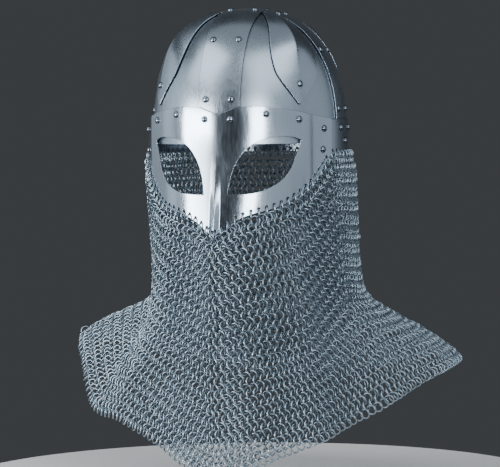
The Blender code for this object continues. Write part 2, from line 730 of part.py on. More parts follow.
def make_aventail(collection, parent):
    material = new_material("mail_steel", (0.36, 0.41, 0.45), 0.35)
    angles = mail_angles()
    last = len(angles) - 1
    bm = bmesh.new()
    bmesh.ops.create_grid(bm, x_segments=last, y_segments=MAIL_ROWS, size=0.5)
    for vertex in bm.verts:
        angle = angles[round((vertex.co.x + 0.5) * last)]
        vertex.co = mail_point(angle, 0.5 - vertex.co.y)
    bmesh.ops.remove_doubles(bm, verts=bm.verts, dist=0.00001)
    mesh = bpy.data.meshes.new("aventail")
    bm.to_mesh(mesh)
    bm.free()
    mesh.shade_smooth()
    aventail = new_object("aventail", mesh, collection, material, parent)
    wall = aventail.modifiers.new("wall", "SOLIDIFY")
    wall.thickness = MAIL_WALL
    wall.offset = 0.0


def rivet_mesh(material):
    """A domed head, turned from its profile."""
    bm = bmesh.new()
    line = [bm.verts.new((reach * RIVET_RADIUS, 0.0, up * RIVET_HEIGHT)) for reach, up in RIVET_PROFILE]
    for start, end in zip(line, line[1:]):
        bm.edges.new((start, end))
    mesh = bpy.data.meshes.new("rivet_profile")
    bm.to_mesh(mesh)
    bm.free()
    turned = bpy.data.objects.new("rivet_profile", mesh)
    bpy.context.scene.collection.objects.link(turned)
    screw = turned.modifiers.new("turn", "SCREW")
    screw.steps = RIVET_SIDES
    screw.render_steps = RIVET_SIDES
    screw.use_merge_vertices = True
    screw.merge_threshold = 0.00001
    bpy.context.view_layer.update()
    head = bpy.data.meshes.new_from_object(turned.evaluated_get(bpy.context.evaluated_depsgraph_get()))
    bpy.data.objects.remove(turned)
    head.name = "rivet_head"
    head.materials.append(material)
    head.shade_smooth()
    head.set_sharp_from_angle(angle=math.radians(50))
    return head


def strap_rivet_angle(height, half_side):
    """Angle from a strap's middle line to its rivets at a height."""
    return math.asin(RIVET_HALF_SPACING / (half_side * skull_share(height)))


def quarter_rivets(side, back):
    """Names, points on the skull's own surface and heights above it of one quarter's rivets."""
    end = "back" if back > 0 else "front"
    hand = "right" if side > 0 else "left"
    places = []
    for row, share in CROWN_RIVETS:
        height = share * SKULL_RISE
        point = skull_point(strap_rivet_angle(height, SKULL_HALF_WIDTH), height, 0.0)
        places.append(("crown_{}_{}_{}".format(row, end, hand), point, STRAP_HIGH))
    for row, share in SIDE_RIVETS:
        height = share * SKULL_RISE
        turn = math.pi / 2 - strap_rivet_angle(height, SKULL_HALF_LENGTH)
        places.append(("side_{}_{}_{}".format(row, hand, end), skull_point(turn, height, 0.0), STRAP_HIGH))
    tops = (("crown_top_{}_{}".format(end, hand), RIVET_HALF_SPACING, CROWN_RIVET_REACH),
            ("side_top_{}_{}".format(hand, end), CROWN_STRAP_WIDTH / 2 + SIDE_TOP_RIVET_EDGE,
             RIVET_HALF_SPACING))
    for name, x, y in tops:
        places.append((name, Vector((x, -y, skull_height(x, y, 0.0))), STRAP_HIGH))
    rim = BROW_RIVET_HEIGHT if back < 0 else RIM_RIVET_HEIGHT
    point = skull_point(strap_rivet_angle(rim, SKULL_HALF_WIDTH), rim, 0.0)
    places.append(("rim_{}_{}".format(end, hand), point, BAND_HIGH))
    turn = math.pi / 2 - strap_rivet_angle(RIM_RIVET_HEIGHT, SKULL_HALF_LENGTH)
    places.append(("rim_{}_{}".format(hand, end), skull_point(turn, RIM_RIVET_HEIGHT, 0.0), BAND_HIGH))
    placed = []
    for name, point, height in places:
        placed.append(("rivet_" + name, Vector((side * point.x, -back * point.y, point.z)), height))
    leaf = leaf_bend(side, back)(Vector((0.0, LEAF_RIVET_RISE / LEAF_LENGTH, LEAF_HIGH)))
    placed.append((quarter_name("rivet_leaf", side, back), leaf, 0.0))
    return placed


def rivet_places():
    """Names, points on the skull's own surface and heights above it of all the rivets."""
    places = []
    for side, hand in ((1, "right"), (-1, "left")):
        for back in (-1, 1):
            places += quarter_rivets(side, back)
        single = skull_point(side * math.pi / 2, -SINGLE_RIVET_DEPTH, 0.0)
        places.append(("rivet_rim_single_" + hand, single, BAND_HIGH))
        for row, angle, share in MASK_RIVETS:
            step = MASK_STEP * smooth_step(angle, MASK_STEP_START, MASK_STEP_END)
            point = skull_point(side * math.radians(angle), share * MASK_DROP, 0.0)
            places.append(("rivet_mask_{}_{}".format(row, hand), point, BAND_HIGH + step))
    return places


def make_rivets(collection, parent):
    head = rivet_mesh(new_material("rivet_steel", (0.42, 0.45, 0.48), 0.25))
    for name, point, height in rivet_places():
        normal = skull_normal(point)
        rivet = new_object(name, head, collection, None, parent)
        rivet.location = point + normal * (height + GAP)
        rivet.rotation_euler = normal.to_track_quat("Z", "Y").to_euler()


def main():
    for item in list(bpy.data.objects):
        bpy.data.objects.remove(item, do_unlink=True)
    collection = bpy.data.collections.new("viking_helmet")
    cutters = bpy.data.collections.new("cutters")
    bpy.context.scene.collection.children.link(collection)
    bpy.context.scene.collection.children.link(cutters)
    rim_centre = bpy.data.objects.new("rim_centre", None)
    collection.objects.link(rim_centre)
    rim_centre.location = (0.0, 0.0, RIM_LEVEL)
    make_panels(collection, rim_centre)
    make_straps(collection, rim_centre)
    make_leaves(collection, rim_centre)
    make_rim_band(collection, cutters, rim_centre)
    make_mask(collection, cutters, rim_centre)
    make_aventail(collection, rim_centre)
    make_rivets(collection, rim_centre)


main()
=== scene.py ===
"""The viking helmet's looks: bent steel plates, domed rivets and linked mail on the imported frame.

Metres, +Z up, with the face towards -Y. Heights in the tables and bends are measured from the
rim's level. A plate is drawn flat, as a way around or across, a way up or along and a height
above the skull panels, and is then bent over the dome.
"""
import math

import bpy
import numpy as np
from mathutils import Matrix, Vector
from mathutils.geometry import delaunay_2d_cdt


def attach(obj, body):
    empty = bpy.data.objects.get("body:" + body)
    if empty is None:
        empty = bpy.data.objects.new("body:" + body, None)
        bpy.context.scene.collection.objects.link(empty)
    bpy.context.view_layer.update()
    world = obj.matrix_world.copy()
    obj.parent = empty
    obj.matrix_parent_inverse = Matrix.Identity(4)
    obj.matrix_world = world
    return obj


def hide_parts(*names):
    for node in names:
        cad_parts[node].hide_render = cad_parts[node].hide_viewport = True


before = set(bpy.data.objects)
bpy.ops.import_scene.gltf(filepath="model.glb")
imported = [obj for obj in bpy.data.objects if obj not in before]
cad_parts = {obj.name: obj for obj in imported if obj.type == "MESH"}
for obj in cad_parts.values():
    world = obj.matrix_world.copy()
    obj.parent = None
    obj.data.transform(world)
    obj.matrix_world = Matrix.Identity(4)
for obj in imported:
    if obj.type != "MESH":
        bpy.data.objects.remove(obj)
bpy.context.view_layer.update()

# Sides and ends of the helmet, with their names
HANDS = ((1, "right"), (-1, "left"))
ENDS = ((-1, "front"), (1, "back"))

# Skull
SKULL_HALF_WIDTH = 0.098
SKULL_HALF_LENGTH = 0.107
SKULL_RISE = 0.1237
SKULL_FULLNESS = 2.28
PLATE = 0.0012
GAP = 0.0003
LAYER_GAP = 0.0005
PANEL_SKIRT = 0.012
PANEL_EDGE_GAP = 0.010
PANEL_TOP_RADIUS = 0.014

# Straps
CROWN_STRAP_WIDTH = 0.0434
SIDE_STRAP_WIDTH = 0.037
STRAP_SKIRT = 0.004
BUTT_GAP = 0.0004

# Leaf plates
LEAF_TIP_HEIGHT = 0.0275
LEAF_TOP_DROP = 0.0042
LEAF_TIP_ANGLE = 49.0
LEAF_LEAN = 5.0
LEAF_SPREAD = 18.0
LEAF_KEEL_HEIGHT = 0.006
LEAF_SIDE_GAP = 0.0005
LEAF_FLAT_HALF_WIDTH = 0.026
LEAF_CREST = 0.025  # rounding of the keel's crest, as a share of the half width

# Rim band
BAND_HEIGHT = 0.035
BAND_TOP = 0.0118
BAND_START_ANGLE = 58.5

# Mask
MASK_SWEEP = 71.0
MASK_DROP = 0.1022
MASK_STEP_SPAN = 13.5
MASK_STEP_CLEARANCE = 1.0
MASK_BULGE = 0.0155
MASK_BULGE_START = 0.004
MASK_BULGE_EASE = 0.012
MASK_BULGE_ANGLE = 51.0
NOSE_KEEL_HEIGHT = 0.0042
NOSE_KEEL_HALF_WIDTH = 0.005
NOSE_KEEL_START = 0.018
NOSE_CREST = 0.0005
NOSE_VALLEY = 0.002  # rounding beside the ridge, as a share of its height squared
EYE_INNER_ANGLE = 7.1
EYE_OUTER_ANGLE = 48.4
EYE_BOTTOM = 0.0615
EYE_TOP = 0.0047

# Lacing holes
LACE_PITCH = 0.0078
LACE_HOLE_RADIUS = 0.0014
LACE_EDGE = 0.0036
HOLE_SIDES = 12

# Rivets
RIVET_RADIUS = 0.00325
RIVET_HEIGHT = 0.0021
RIVET_SIDES = 24
RIVET_RINGS = 6
RIVET_SHARP_ANGLE = 50.0
RIVET_HALF_SPACING = 0.0129
CROWN_RIVET_REACH = 0.020
SIDE_TOP_RIVET_EDGE = 0.0135
RIM_RIVET_HEIGHT = 0.0032
BROW_RIVET_HEIGHT = 0.013
SINGLE_RIVET_DEPTH = 0.0105
LEAF_RIVET_RISE = 0.0195

# Mail
MAIL_HANG_GAP = 0.001
MAIL_OUTSET = 0.0022
MAIL_OUTSET_RUN = 0.013
NECK_REACH = 0.106
NECK_DEPTH = 0.166
SHOULDER_REACH = 0.211
HEM_DEPTH = 0.351
NECK_CENTRE_BACK = 0.010
SHOULDER_CENTRE_BACK = 0.020
SHOULDER_SWELL = 0.010
NECK_SOFTNESS = 0.018
FOLD_HEIGHT = 0.008

# Links
RING_RADIUS = 0.0047
WIRE_RADIUS = 0.0008
RING_SEGMENTS = 12
WIRE_SIDES = 5
RING_ROWS = 38
FIRST_ROW_DROP = 0.0058
RING_LEAN = 38.0  # degrees, one way in each row and the other way in the next
LEAN_PER_ROW = 14.0  # below the laced row, until the full lean is reached
RING_TILT = 7.0
LEAN_JITTER = 3.5
TILT_JITTER = 4.0
SHIFT_JITTER = 0.00025
LINK_PITCH = 0.0066
MOST_NEW_LINKS = 8
LEAST_LINKS_BETWEEN = 3
SPACING_ROUNDS = 4
SPACING_PULL = 0.25
LINK_SEED = 7
ALONG_STEP = 0.4  # degrees, to find how the mail runs at a link
DOWN_STEP = 0.01
SAG_SHARE = 0.045  # how far the rows sag at the front fold, as a share of the way down
SAG_ANGLE = 36.0
SAG_HALF_WIDTH = 20.0
SECTORS = 8
LOOSE_LINK_ANGLE = -92.5
LOOSE_LINK_ROW = 37
LOOSE_LINK_RISE = 0.0035
LOOSE_LINK_TURN = 20.0

# Mesh fineness
CELL = 0.0024
PANEL_CELL = 0.004
MASK_CELL = 0.002
CELL_CLEARANCE = 0.35  # least way from an outline to an inner point, as a share of the cell
EDGE_STEP = 0.0012
BEVEL = 0.00035
SLOPE_STEP = 0.00005
MERGE_DISTANCE = 1e-7
PROFILE_STEPS = 720
CURVE_STEPS = 8
LACE_CURVE_STEPS = 2
RAY_RANGE = (0.5, 1.2)  # where a ray meets the dome, as a share of its plain ellipse
RAY_HALVINGS = 40
PANEL_FLAT_WIDTH = 0.16
PANEL_FLAT_HEIGHT = 0.19
LEAF_LINES = (0, 1, 2, 4)  # mesh lines beside the keel, in roundings of its crest
NOSE_LINES = (0.0, 0.0003, 0.0007, 0.0012, 0.002, 0.003, 0.004, 0.0045, 0.005, 0.0055, 0.0062, 0.0075)

RIM_LEVEL = -(SKULL_RISE - PLATE)
BAND_BOTTOM = BAND_TOP - BAND_HEIGHT
STRAP_LOW = LAYER_GAP
STRAP_HIGH = STRAP_LOW + PLATE
LEAF_LOW = LAYER_GAP + GAP
LEAF_HIGH = LEAF_LOW + PLATE
BAND_LOW = STRAP_HIGH + LAYER_GAP
BAND_HIGH = BAND_LOW + PLATE
MASK_STEP = PLATE + LAYER_GAP
MASK_STEP_END = BAND_START_ANGLE - MASK_STEP_CLEARANCE
MASK_STEP_START = MASK_STEP_END - MASK_STEP_SPAN
LEAF_LENGTH = SKULL_RISE - LEAF_TOP_DROP - LEAF_TIP_HEIGHT
WRAP_RADIUS = (SKULL_HALF_WIDTH + SKULL_HALF_LENGTH) / 2

# Rows: share of the leaf's length from the tip, share of its greatest half width, share of its keel
LEAF_ROWS = (
    (0.00, 0.03, 0.00),
    (0.11, 0.31, 0.03),
    (0.22, 0.59, 0.14),
    (0.33, 0.83, 0.36),
    (0.45, 0.95, 0.62),
    (0.59, 1.00, 0.95),
    (0.72, 0.97, 1.00),
    (0.86, 0.85, 0.72),
    (1.00, 0.66, 0.20),
)

# Rows: share of the eye's width from the nose, share of its height from the bottom
EYE_UPPER = (
    (0.00, 0.00), (0.02, 0.20), (0.06, 0.41), (0.14, 0.63), (0.27, 0.83),
    (0.47, 0.96), (0.70, 1.00), (0.88, 0.99), (1.00, 0.945),
)
EYE_LOWER = (
    (1.00, 0.945), (0.97, 0.80), (0.92, 0.66), (0.855, 0.45), (0.75, 0.27),
    (0.62, 0.15), (0.47, 0.065), (0.32, 0.02), (0.16, 0.005), (0.00, 0.00),
)

# Rows: share of the mask's sweep from the nose, share of the mask's drop below or above the rim
MASK_LOWER = (
    (0.00, 1.000), (0.06, 0.960), (0.16, 0.865), (0.276, 0.800), (0.43, 0.752), (0.55, 0.700),
    (0.68, 0.608), (0.79, 0.494), (0.875, 0.381), (0.945, 0.285), (1.00, 0.227),
)
MASK_UPPER = (
    (0.00, 0.175), (0.08, 0.208), (0.155, 0.245), (0.32, 0.252), (0.465, 0.237),
    (0.65, 0.205), (0.74, 0.178), (0.87, 0.148), (1.00, 0.125),
)

# Rows: name, angle from the nose in degrees, height above the rim as a share of the mask's drop
MASK_RIVETS = (
    ("brow", 27.6, 0.173),
    ("temple", 47.3, 0.118),
    ("cheek_top", 64.3, 0.026),
    ("cheek_low", 63.3, -0.179),
)

# Rows: row of rivets on a strap, its height as a share of the skull's rise
CROWN_RIVETS = (("low", 0.263), ("middle", 0.739))
SIDE_RIVETS = (("low", 0.179), ("middle", 0.658))

# Rows: angle, reach of the neck bend and its depth as shares of the neck's, reach and depth of
# the hem as shares of the shoulder's reach and the hem's depth, share of the shoulder's swell
MAIL_SECTIONS = (
    (-180.0, 0.97, 1.07, 0.626, 0.763, 0.0),
    (-157.0, 1.00, 1.04, 0.687, 0.741, 0.3),
    (-135.0, 0.98, 1.03, 0.787, 0.698, 0.5),
    (-120.0, 0.96, 1.03, 0.863, 0.661, 0.5),
    (-105.0, 0.93, 1.05, 0.924, 0.632, 0.5),
    (-90.0, 0.915, 1.05, 0.919, 0.627, 0.5),
    (-75.0, 0.90, 1.05, 0.853, 0.707, 0.5),
    (-60.0, 0.92, 1.06, 0.825, 0.812, 0.4),
    (-45.0, 1.04, 1.09, 0.744, 0.832, 0.2),
    (-30.0, 1.16, 1.11, 0.673, 0.886, 0.0),
    (-15.0, 1.235, 1.17, 0.664, 0.954, 0.0),
    (0.0, 1.275, 1.20, 0.664, 1.000, 0.0),
    (15.0, 1.235, 1.17, 0.664, 0.952, 0.0),
    (30.0, 1.17, 1.12, 0.668, 0.910, 0.0),
    (45.0, 1.10, 1.11, 0.711, 0.866, 0.2),
    (60.0, 1.05, 1.08, 0.806, 0.806, 0.4),
    (75.0, 1.01, 1.06, 0.905, 0.729, 0.5),
    (90.0, 1.005, 1.06, 1.000, 0.684, 0.5),
    (105.0, 0.985, 1.05, 0.986, 0.681, 0.5),
    (120.0, 0.96, 1.04, 0.929, 0.690, 0.5),
    (135.0, 0.98, 1.03, 0.834, 0.712, 0.5),
    (157.0, 1.00, 1.04, 0.701, 0.746, 0.3),
    (180.0, 0.97, 1.07, 0.626, 0.763, 0.0),
)

# Rows: angle of the fold, its half width in degrees, share of the way down where it starts and
# where it is full, its height as a share of the fold height, where a groove is below zero
MAIL_FOLDS = (
    (39.0, 8.0, 0.12, 0.45, 0.8),
    (56.0, 9.0, 0.20, 0.55, -0.5),
    (22.0, 15.0, 0.02, 0.20, 0.5),
    (-38.0, 11.0, 0.25, 0.60, 0.5),
    (-60.0, 11.0, 0.30, 0.65, -0.4),
    (-12.0, 12.0, 0.45, 0.80, -0.4),
    (92.0, 10.0, 0.15, 0.40, -0.3),
    (118.0, 10.0, 0.25, 0.70, 0.6),
    (142.0, 11.0, 0.30, 0.80, -0.6),
    (168.0, 11.0, 0.35, 0.90, 0.7),
    (-165.0, 11.0, 0.30, 0.80, -0.6),
    (-140.0, 11.0, 0.30, 0.90, 0.7),
    (-112.0, 10.0, 0.25, 0.70, -0.5),
)

# Camera, as seen from the rim's centre
CAMERA_DISTANCE = 3.0
CAMERA_AZIMUTH = 17.2
CAMERA_ELEVATION = 0.71
CAMERA_ROLL = 0.55
CAMERA_FOCAL_PX = 2916.0
PHOTO_WIDTH_PX = 500.0
PHOTO_HEIGHT_PX = 467.0
RIM_CENTRE_PX_Y = 130.9
SENSOR_WIDTH_MM = 36.0

# Rows: steel, its colour, its roughness and how that changes in smudges, stretch of its streaks
STEELS = {
    "panel_steel": ((0.42, 0.50, 0.58), 0.32, 0.08, (1.0, 1.0, 0.04)),
    "strap_steel": ((0.47, 0.55, 0.64), 0.28, 0.08, (1.0, 1.0, 0.04)),
    "leaf_steel": ((0.45, 0.53, 0.62), 0.28, 0.08, (1.0, 1.0, 0.04)),
    "band_steel": ((0.43, 0.50, 0.58), 0.28, 0.08, (1.0, 1.0, 0.04)),
    "mask_steel": ((0.47, 0.55, 0.64), 0.20, 0.08, (1.0, 1.0, 0.03)),
    "rivet_steel": ((0.25, 0.30, 0.36), 0.16, 0.10, (1.0, 1.0, 1.0)),
    "mail_steel": ((0.345, 0.43, 0.50), 0.40, 0.08, (1.0, 1.0, 1.0)),
}
NOISE_RANGE = (0.3, 0.7)  # where most of a noise's values lie
STREAK_SCALE = 900.0
STREAK_DETAIL = 2.0
STREAK_ROUGHNESS = 0.04
STREAK_SHARE = 0.4  # of the change in colour
SMUDGE_SCALE = 22.0
SMUDGE_DETAIL = 4.0
SMUDGE_SHARE = 0.6
DARK_TINT = 0.90  # shares of the steel's colour
PALE_TINT = 1.06
DENT_STRENGTH = 0.03
DENT_DEPTH = 0.0002
# Painted shade: every steel's colour is darkened by ambient occlusion in seams, under plate edges and
# where links cross, where shade would fall
SEAM_SHADE_REACH = 0.0022
SEAM_SHADE_TINT = 0.12
SEAM_SHADE_RANGE = (0.4, 0.95)  # openness of a seam that gets the darkest painted shade and of one that gets none
SEAM_SHADE_SAMPLES = 8

# Floor and surround
FLOOR_RADIUS = 0.31
FLOOR_SIDES = 128
FLOOR_DROP = 0.008
FLOOR_COLOUR = (0.80, 0.80, 0.80, 1.0)
FLOOR_ROUGHNESS = 0.9
SURROUND_COLOUR = (0.80, 0.86, 0.93, 1.0)
SURROUND_STRENGTH = 0.06

# Lights
EYES_DROP = 0.05
EYES = (0.0, 0.0, RIM_LEVEL - EYES_DROP)
BEFORE_HELMET = (0.0, -0.8, 0.0)
SIDE_LIGHT = (0.86, 0.93, 1.0)
HIGH_LIGHT = (0.93, 0.97, 1.0)

# Rows: light, its place, where it points, its size across and up, its power in watts, its colour
LIGHTS = (
    ("key", (-1.39, -1.44, -0.1), EYES, (1.4, 0.65), 50.0, (0.96, 0.98, 1.0)),
    ("fill", (1.17, -1.87, 0.0), EYES, (0.6, 0.8), 22.0, (0.94, 0.97, 1.0)),
    ("high_left", (-1.3, -1.1, 1.5), EYES, (1.8, 1.5), 18.0, HIGH_LIGHT),
    ("high_right", (1.3, -1.1, 1.5), EYES, (1.8, 1.5), 16.0, HIGH_LIGHT),
    ("top", (0.0, -1.0, 1.9), BEFORE_HELMET, (4.4, 3.6), 17.0, (0.90, 0.95, 1.0)),
    ("left", (-2.6, -0.6, 0.2), EYES, (2.4, 2.4), 8.0, SIDE_LIGHT),
    ("right", (2.3, -1.3, 0.2), EYES, (2.8, 2.4), 11.0, SIDE_LIGHT),
    ("back_left", (-2.2, 0.6, 0.2), EYES, (2.0, 2.0), 5.5, SIDE_LIGHT),
    ("back_right", (2.2, 1.0, 0.2), EYES, (2.0, 2.0), 6.5, SIDE_LIGHT),
)


def smooth_step(value, low, high):
    share = np.clip((value - low) / (high - low), 0.0, 1.0)
    return share * share * (3 - 2 * share)


def unit(vectors):
    return vectors / np.linalg.norm(vectors, axis=-1, keepdims=True)


def stack(*parts):
    return np.stack(np.broadcast_arrays(*parts), axis=-1).astype(float)


def full_turn(count):
    """Angles at equal steps round a circle, in radians."""
    return np.arange(count) * 2 * math.pi / count


def wrapped(angle):
    """The same angles in degrees, brought between -180 and 180."""
    return (angle + 180.0) % 360.0 - 180.0


def curve_between(before, start, end, after, t):
    """Catmull-Rom curve from start to end, with slopes from the points before and after."""
    return 0.5 * (2 * start + (end - before) * t
                  + (2 * before - 5 * start + 4 * end - after) * t ** 2
                  + (3 * start - before - 3 * end + after) * t ** 3)


def smooth_curve(points, steps):
    """Points along a smooth curve through the given ones, with both ends kept."""
    points = [np.array(point, float) for point in points]
    padded = [2 * points[0] - points[1]] + points + [2 * points[-1] - points[-2]]
    curve = []
    for before, start, end, after in zip(padded, padded[1:], padded[2:], padded[3:]):
        curve += [curve_between(before, start, end, after, step / steps) for step in range(steps)]
    curve.append(points[-1])
    return curve


def smooth_interp(places, table, index):
    """A table's column at places along its first column, without kinks."""
    columns = np.array(table).T
    at, values = columns[0], columns[index]
    slopes = np.gradient(values, at)
    row = np.clip(np.searchsorted(at, places, side="right") - 1, 0, len(at) - 2)
    width = at[row + 1] - at[row]
    t = np.clip((places - at[row]) / width, 0.0, 1.0)
    return ((1 + 2 * t) * (1 - t) ** 2 * values[row] + t * (1 - t) ** 2 * width * slopes[row]
            + t ** 2 * (3 - 2 * t) * values[row + 1] + t ** 2 * (t - 1) * width * slopes[row + 1])


def skull_share(height, offset=0.0):
    """Width of the dome at a height, as a share of its width at the rim."""
    share = np.clip(height / (SKULL_RISE + offset), 0.0, 1.0)
    return (1 - share ** SKULL_FULLNESS) ** (1 / SKULL_FULLNESS)


def skull_point(angle, height, offset):
    """Points of the dome, or of the wall below it, at angles from the nose in radians."""
    share = skull_share(height, offset)
    return stack((SKULL_HALF_WIDTH + offset) * share * np.sin(angle),
                 -(SKULL_HALF_LENGTH + offset) * share * np.cos(angle), height)


def skull_height(x, y):
    """Height of the dome above a place in plan."""
    reach = math.hypot(x / SKULL_HALF_WIDTH, y / SKULL_HALF_LENGTH)
    return SKULL_RISE * (1 - reach ** SKULL_FULLNESS) ** (1 / SKULL_FULLNESS)


def skull_normal(points):
    """Outward directions of the dome at points on it or near it."""
    across = points[..., 0] / SKULL_HALF_WIDTH
    along = points[..., 1] / SKULL_HALF_LENGTH
    up = np.maximum(0.0, points[..., 2] / SKULL_RISE)
    plan = np.hypot(across, along) ** (SKULL_FULLNESS - 2)
    return unit(stack(plan * across / SKULL_HALF_WIDTH, plan * along / SKULL_HALF_LENGTH,
                      up ** (SKULL_FULLNESS - 1) / SKULL_RISE))


def profile_curve(half_length):
    """Angles up a profile of the dome, the places out and up there, and the lengths from the rim."""
    angles = np.linspace(0.0, math.pi / 2, PROFILE_STEPS + 1)
    powers = np.cos(angles) ** SKULL_FULLNESS + np.sin(angles) ** SKULL_FULLNESS
    stretch = powers ** (-1 / SKULL_FULLNESS)
    out = half_length * stretch * np.cos(angles)
    up = SKULL_RISE * stretch * np.sin(angles)
    steps = np.hypot(np.diff(out), np.diff(up))
    return angles, out, up, np.concatenate(([0.0], np.cumsum(steps)))


def strap_point(across, along, offset, half_length, half_side):
    """Out and up places on a strap that runs up the dome, where rays of its profile meet it."""
    angles, _, _, lengths = profile_curve(half_length)
    angle = np.interp(along, lengths, angles)
    side_reach = across / (half_side + offset)
    low, high = [np.full(np.shape(along), end) for end in RAY_RANGE]
    for _ in range(RAY_HALVINGS):
        middle = (low + high) / 2
        reach = (side_reach ** 2 + (middle * np.cos(angle)) ** 2) ** (SKULL_FULLNESS / 2)
        inside = reach + (middle * np.sin(angle)) ** SKULL_FULLNESS < 1
        low = np.where(inside, middle, low)
        high = np.where(inside, high, middle)
    on_dome = along > 0
    out = (half_length + offset) * np.where(on_dome, low * np.cos(angle), np.sqrt(1 - side_reach ** 2))
    return out, np.where(on_dome, (SKULL_RISE + offset) * low * np.sin(angle), along)


def crown_strap_bend(x, y, z):
    """The long strap: x is across, and y runs from the brow over the crown to the back."""
    along = profile_curve(SKULL_HALF_LENGTH)[3][-1] - np.abs(y)
    out, up = strap_point(x, along, z, SKULL_HALF_LENGTH, SKULL_HALF_WIDTH)
    return stack(x, np.copysign(out, y), up)


def side_strap_bend(side):
    def bend(x, y, z):
        out, up = strap_point(x, y, z, SKULL_HALF_WIDTH, SKULL_HALF_LENGTH)
        return stack(side * out, side * x, up)

    return bend


def panel_bend(side, back):
    """One quarter of the dome: x around and y up, both as shares."""
    _, out, heights, lengths = profile_curve(SKULL_HALF_LENGTH)
    top_length = float(np.interp(-PANEL_TOP_RADIUS, -out, lengths))
    edge = PANEL_EDGE_GAP / 2

    def bend(x, y, z):
        along = -PANEL_SKIRT + y * (top_length + PANEL_SKIRT)
        height = np.where(along < 0, along, np.interp(along, lengths, heights))
        share = skull_share(height)
        first = np.arcsin(edge / (SKULL_HALF_WIDTH * share))
        last = np.arccos(edge / (SKULL_HALF_LENGTH * share))
        around = x if side * back < 0 else 1 - x
        points = skull_point(first + around * (last - first), height, 0.0)
        points = points + skull_normal(points) * z[..., None]
        return points * (side, -back, 1)

    return bend


def leaf_bend(side, back):
    """A leaf plate: x from -1 to 1 across, y from 0 at the tip to 1 at the top."""
    across_end = CROWN_STRAP_WIDTH / 2 + LEAF_SIDE_GAP
    along_end = SIDE_STRAP_WIDTH / 2 + LEAF_SIDE_GAP

    def bend(x, y, z):
        height = LEAF_TIP_HEIGHT + y * LEAF_LENGTH
        half_width = math.radians(LEAF_SPREAD) * smooth_interp(y, LEAF_ROWS, 1)
        keel = LEAF_KEEL_HEIGHT * smooth_interp(y, LEAF_ROWS, 2)
        middle = np.radians(LEAF_TIP_ANGLE + LEAF_LEAN * y)
        share = skull_share(height)
        first = np.maximum(middle - half_width, np.arcsin(across_end / (SKULL_HALF_WIDTH * share)))
        last = np.minimum(middle + half_width, np.arccos(along_end / (SKULL_HALF_LENGTH * share)))
        across = x if side * back < 0 else -x
        angle = middle + np.where(across > 0, across * (last - middle), across * (middle - first))
        points = skull_point(angle, height, 0.0)
        crest = 1 - (np.sqrt(across ** 2 + LEAF_CREST ** 2) - LEAF_CREST)
        points = points + skull_normal(points) * (z + keel * crest)[..., None]
        return points * (side, -back, 1)

    return bend


def mask_bulge(angle, height):
    """How far the face plate stands forward of the skull's wall."""
    down = np.maximum(0.0, MASK_BULGE_START - height)
    fade = np.maximum(0.0, 1 - (np.degrees(angle) / MASK_BULGE_ANGLE) ** 2)
    return MASK_BULGE * down ** 2 / (down + MASK_BULGE_EASE) / MASK_DROP * fade


def nose_keel(across, height):
    """Height of the folded ridge that runs down the nose, with its crest and valleys rounded."""
    down = smooth_step(-height, NOSE_KEEL_START, MASK_DROP)
    crest = np.sqrt(across ** 2 + NOSE_CREST ** 2) - NOSE_CREST
    share = 1 - crest / NOSE_KEEL_HALF_WIDTH
    rounded = (share + np.sqrt(share ** 2 + NOSE_VALLEY)) / 2
    return NOSE_KEEL_HEIGHT * down * rounded


def band_bend(x, y, z):
    return skull_point(x / WRAP_RADIUS, y, z)


def mask_bend(x, y, z):
    """As the rim band's bend, with the step over the band, the bulge and the keel."""
    angle = x / WRAP_RADIUS
    step = MASK_STEP * smooth_step(np.abs(np.degrees(angle)), MASK_STEP_START, MASK_STEP_END)
    points = skull_point(angle, y, z + step)
    points[..., 1] -= mask_bulge(angle, y) + nose_keel(x, y)
    return points


def along_curve(points, pitch, start):
    """Places at equal steps along a line, with the line's direction at each."""
    points = np.array(points)
    steps = np.hypot(*np.diff(points, axis=0).T)
    lengths = np.concatenate(([0.0], np.cumsum(steps)))
    count = int((lengths[-1] - start) / pitch) + 1
    places = []
    for index in range(count):
        at = start + index * pitch
        piece = min(int(np.searchsorted(lengths, at, side="right")) - 1, len(steps) - 1)
        direction = (points[piece + 1] - points[piece]) / steps[piece]
        places.append((points[piece] + direction * (at - lengths[piece]), direction))
    return places


def mask_edge(table, sign, steps):
    """Right half of the mask's lower or upper edge, in flat metres."""
    corner = 2 if sign > 0 else 0
    rows = [(share * math.radians(MASK_SWEEP) * WRAP_RADIUS, sign * drop * MASK_DROP)
            for share, drop in table]
    return [np.array(row) for row in rows[:corner]] + smooth_curve(rows[corner:], steps)


def mirrored(points):
    """The points of the left half, in order, then those of the right."""
    return [(-x, y) for x, y in reversed(points[1:])] + list(points)


def eye_outline(side):
    """Outline of an eye hole in flat metres, clockwise, with its two corners kept sharp."""
    inner = math.radians(EYE_INNER_ANGLE) * WRAP_RADIUS
    width = math.radians(EYE_OUTER_ANGLE - EYE_INNER_ANGLE) * WRAP_RADIUS
    height = EYE_BOTTOM - EYE_TOP
    shares = smooth_curve(EYE_UPPER, CURVE_STEPS)[:-1] + smooth_curve(EYE_LOWER, CURVE_STEPS)[:-1]
    outline = [(side * (inner + x * width), -EYE_BOTTOM + y * height) for x, y in shares]
    return outline if side > 0 else outline[::-1]


def hole_outline(x, y):
    """Outline of a lacing hole, clockwise."""
    return [(x + LACE_HOLE_RADIUS * math.cos(turn), y + LACE_HOLE_RADIUS * math.sin(turn))
            for turn in -full_turn(HOLE_SIDES)]


def mask_lace_centres():
    """Lacing holes of the mask's right half, half a pitch from the nose and then on."""
    last = math.radians(MASK_SWEEP) * WRAP_RADIUS - LACE_EDGE - LACE_HOLE_RADIUS
    edge = mask_edge(MASK_LOWER, -1, LACE_CURVE_STEPS)
    right = []
    for place, direction in along_curve(edge, LACE_PITCH, LACE_PITCH / 2):
        centre = place + np.array((-direction[1], direction[0])) * LACE_EDGE
        if centre[0] < last:
            right.append((float(centre[0]), float(centre[1])))
    return right


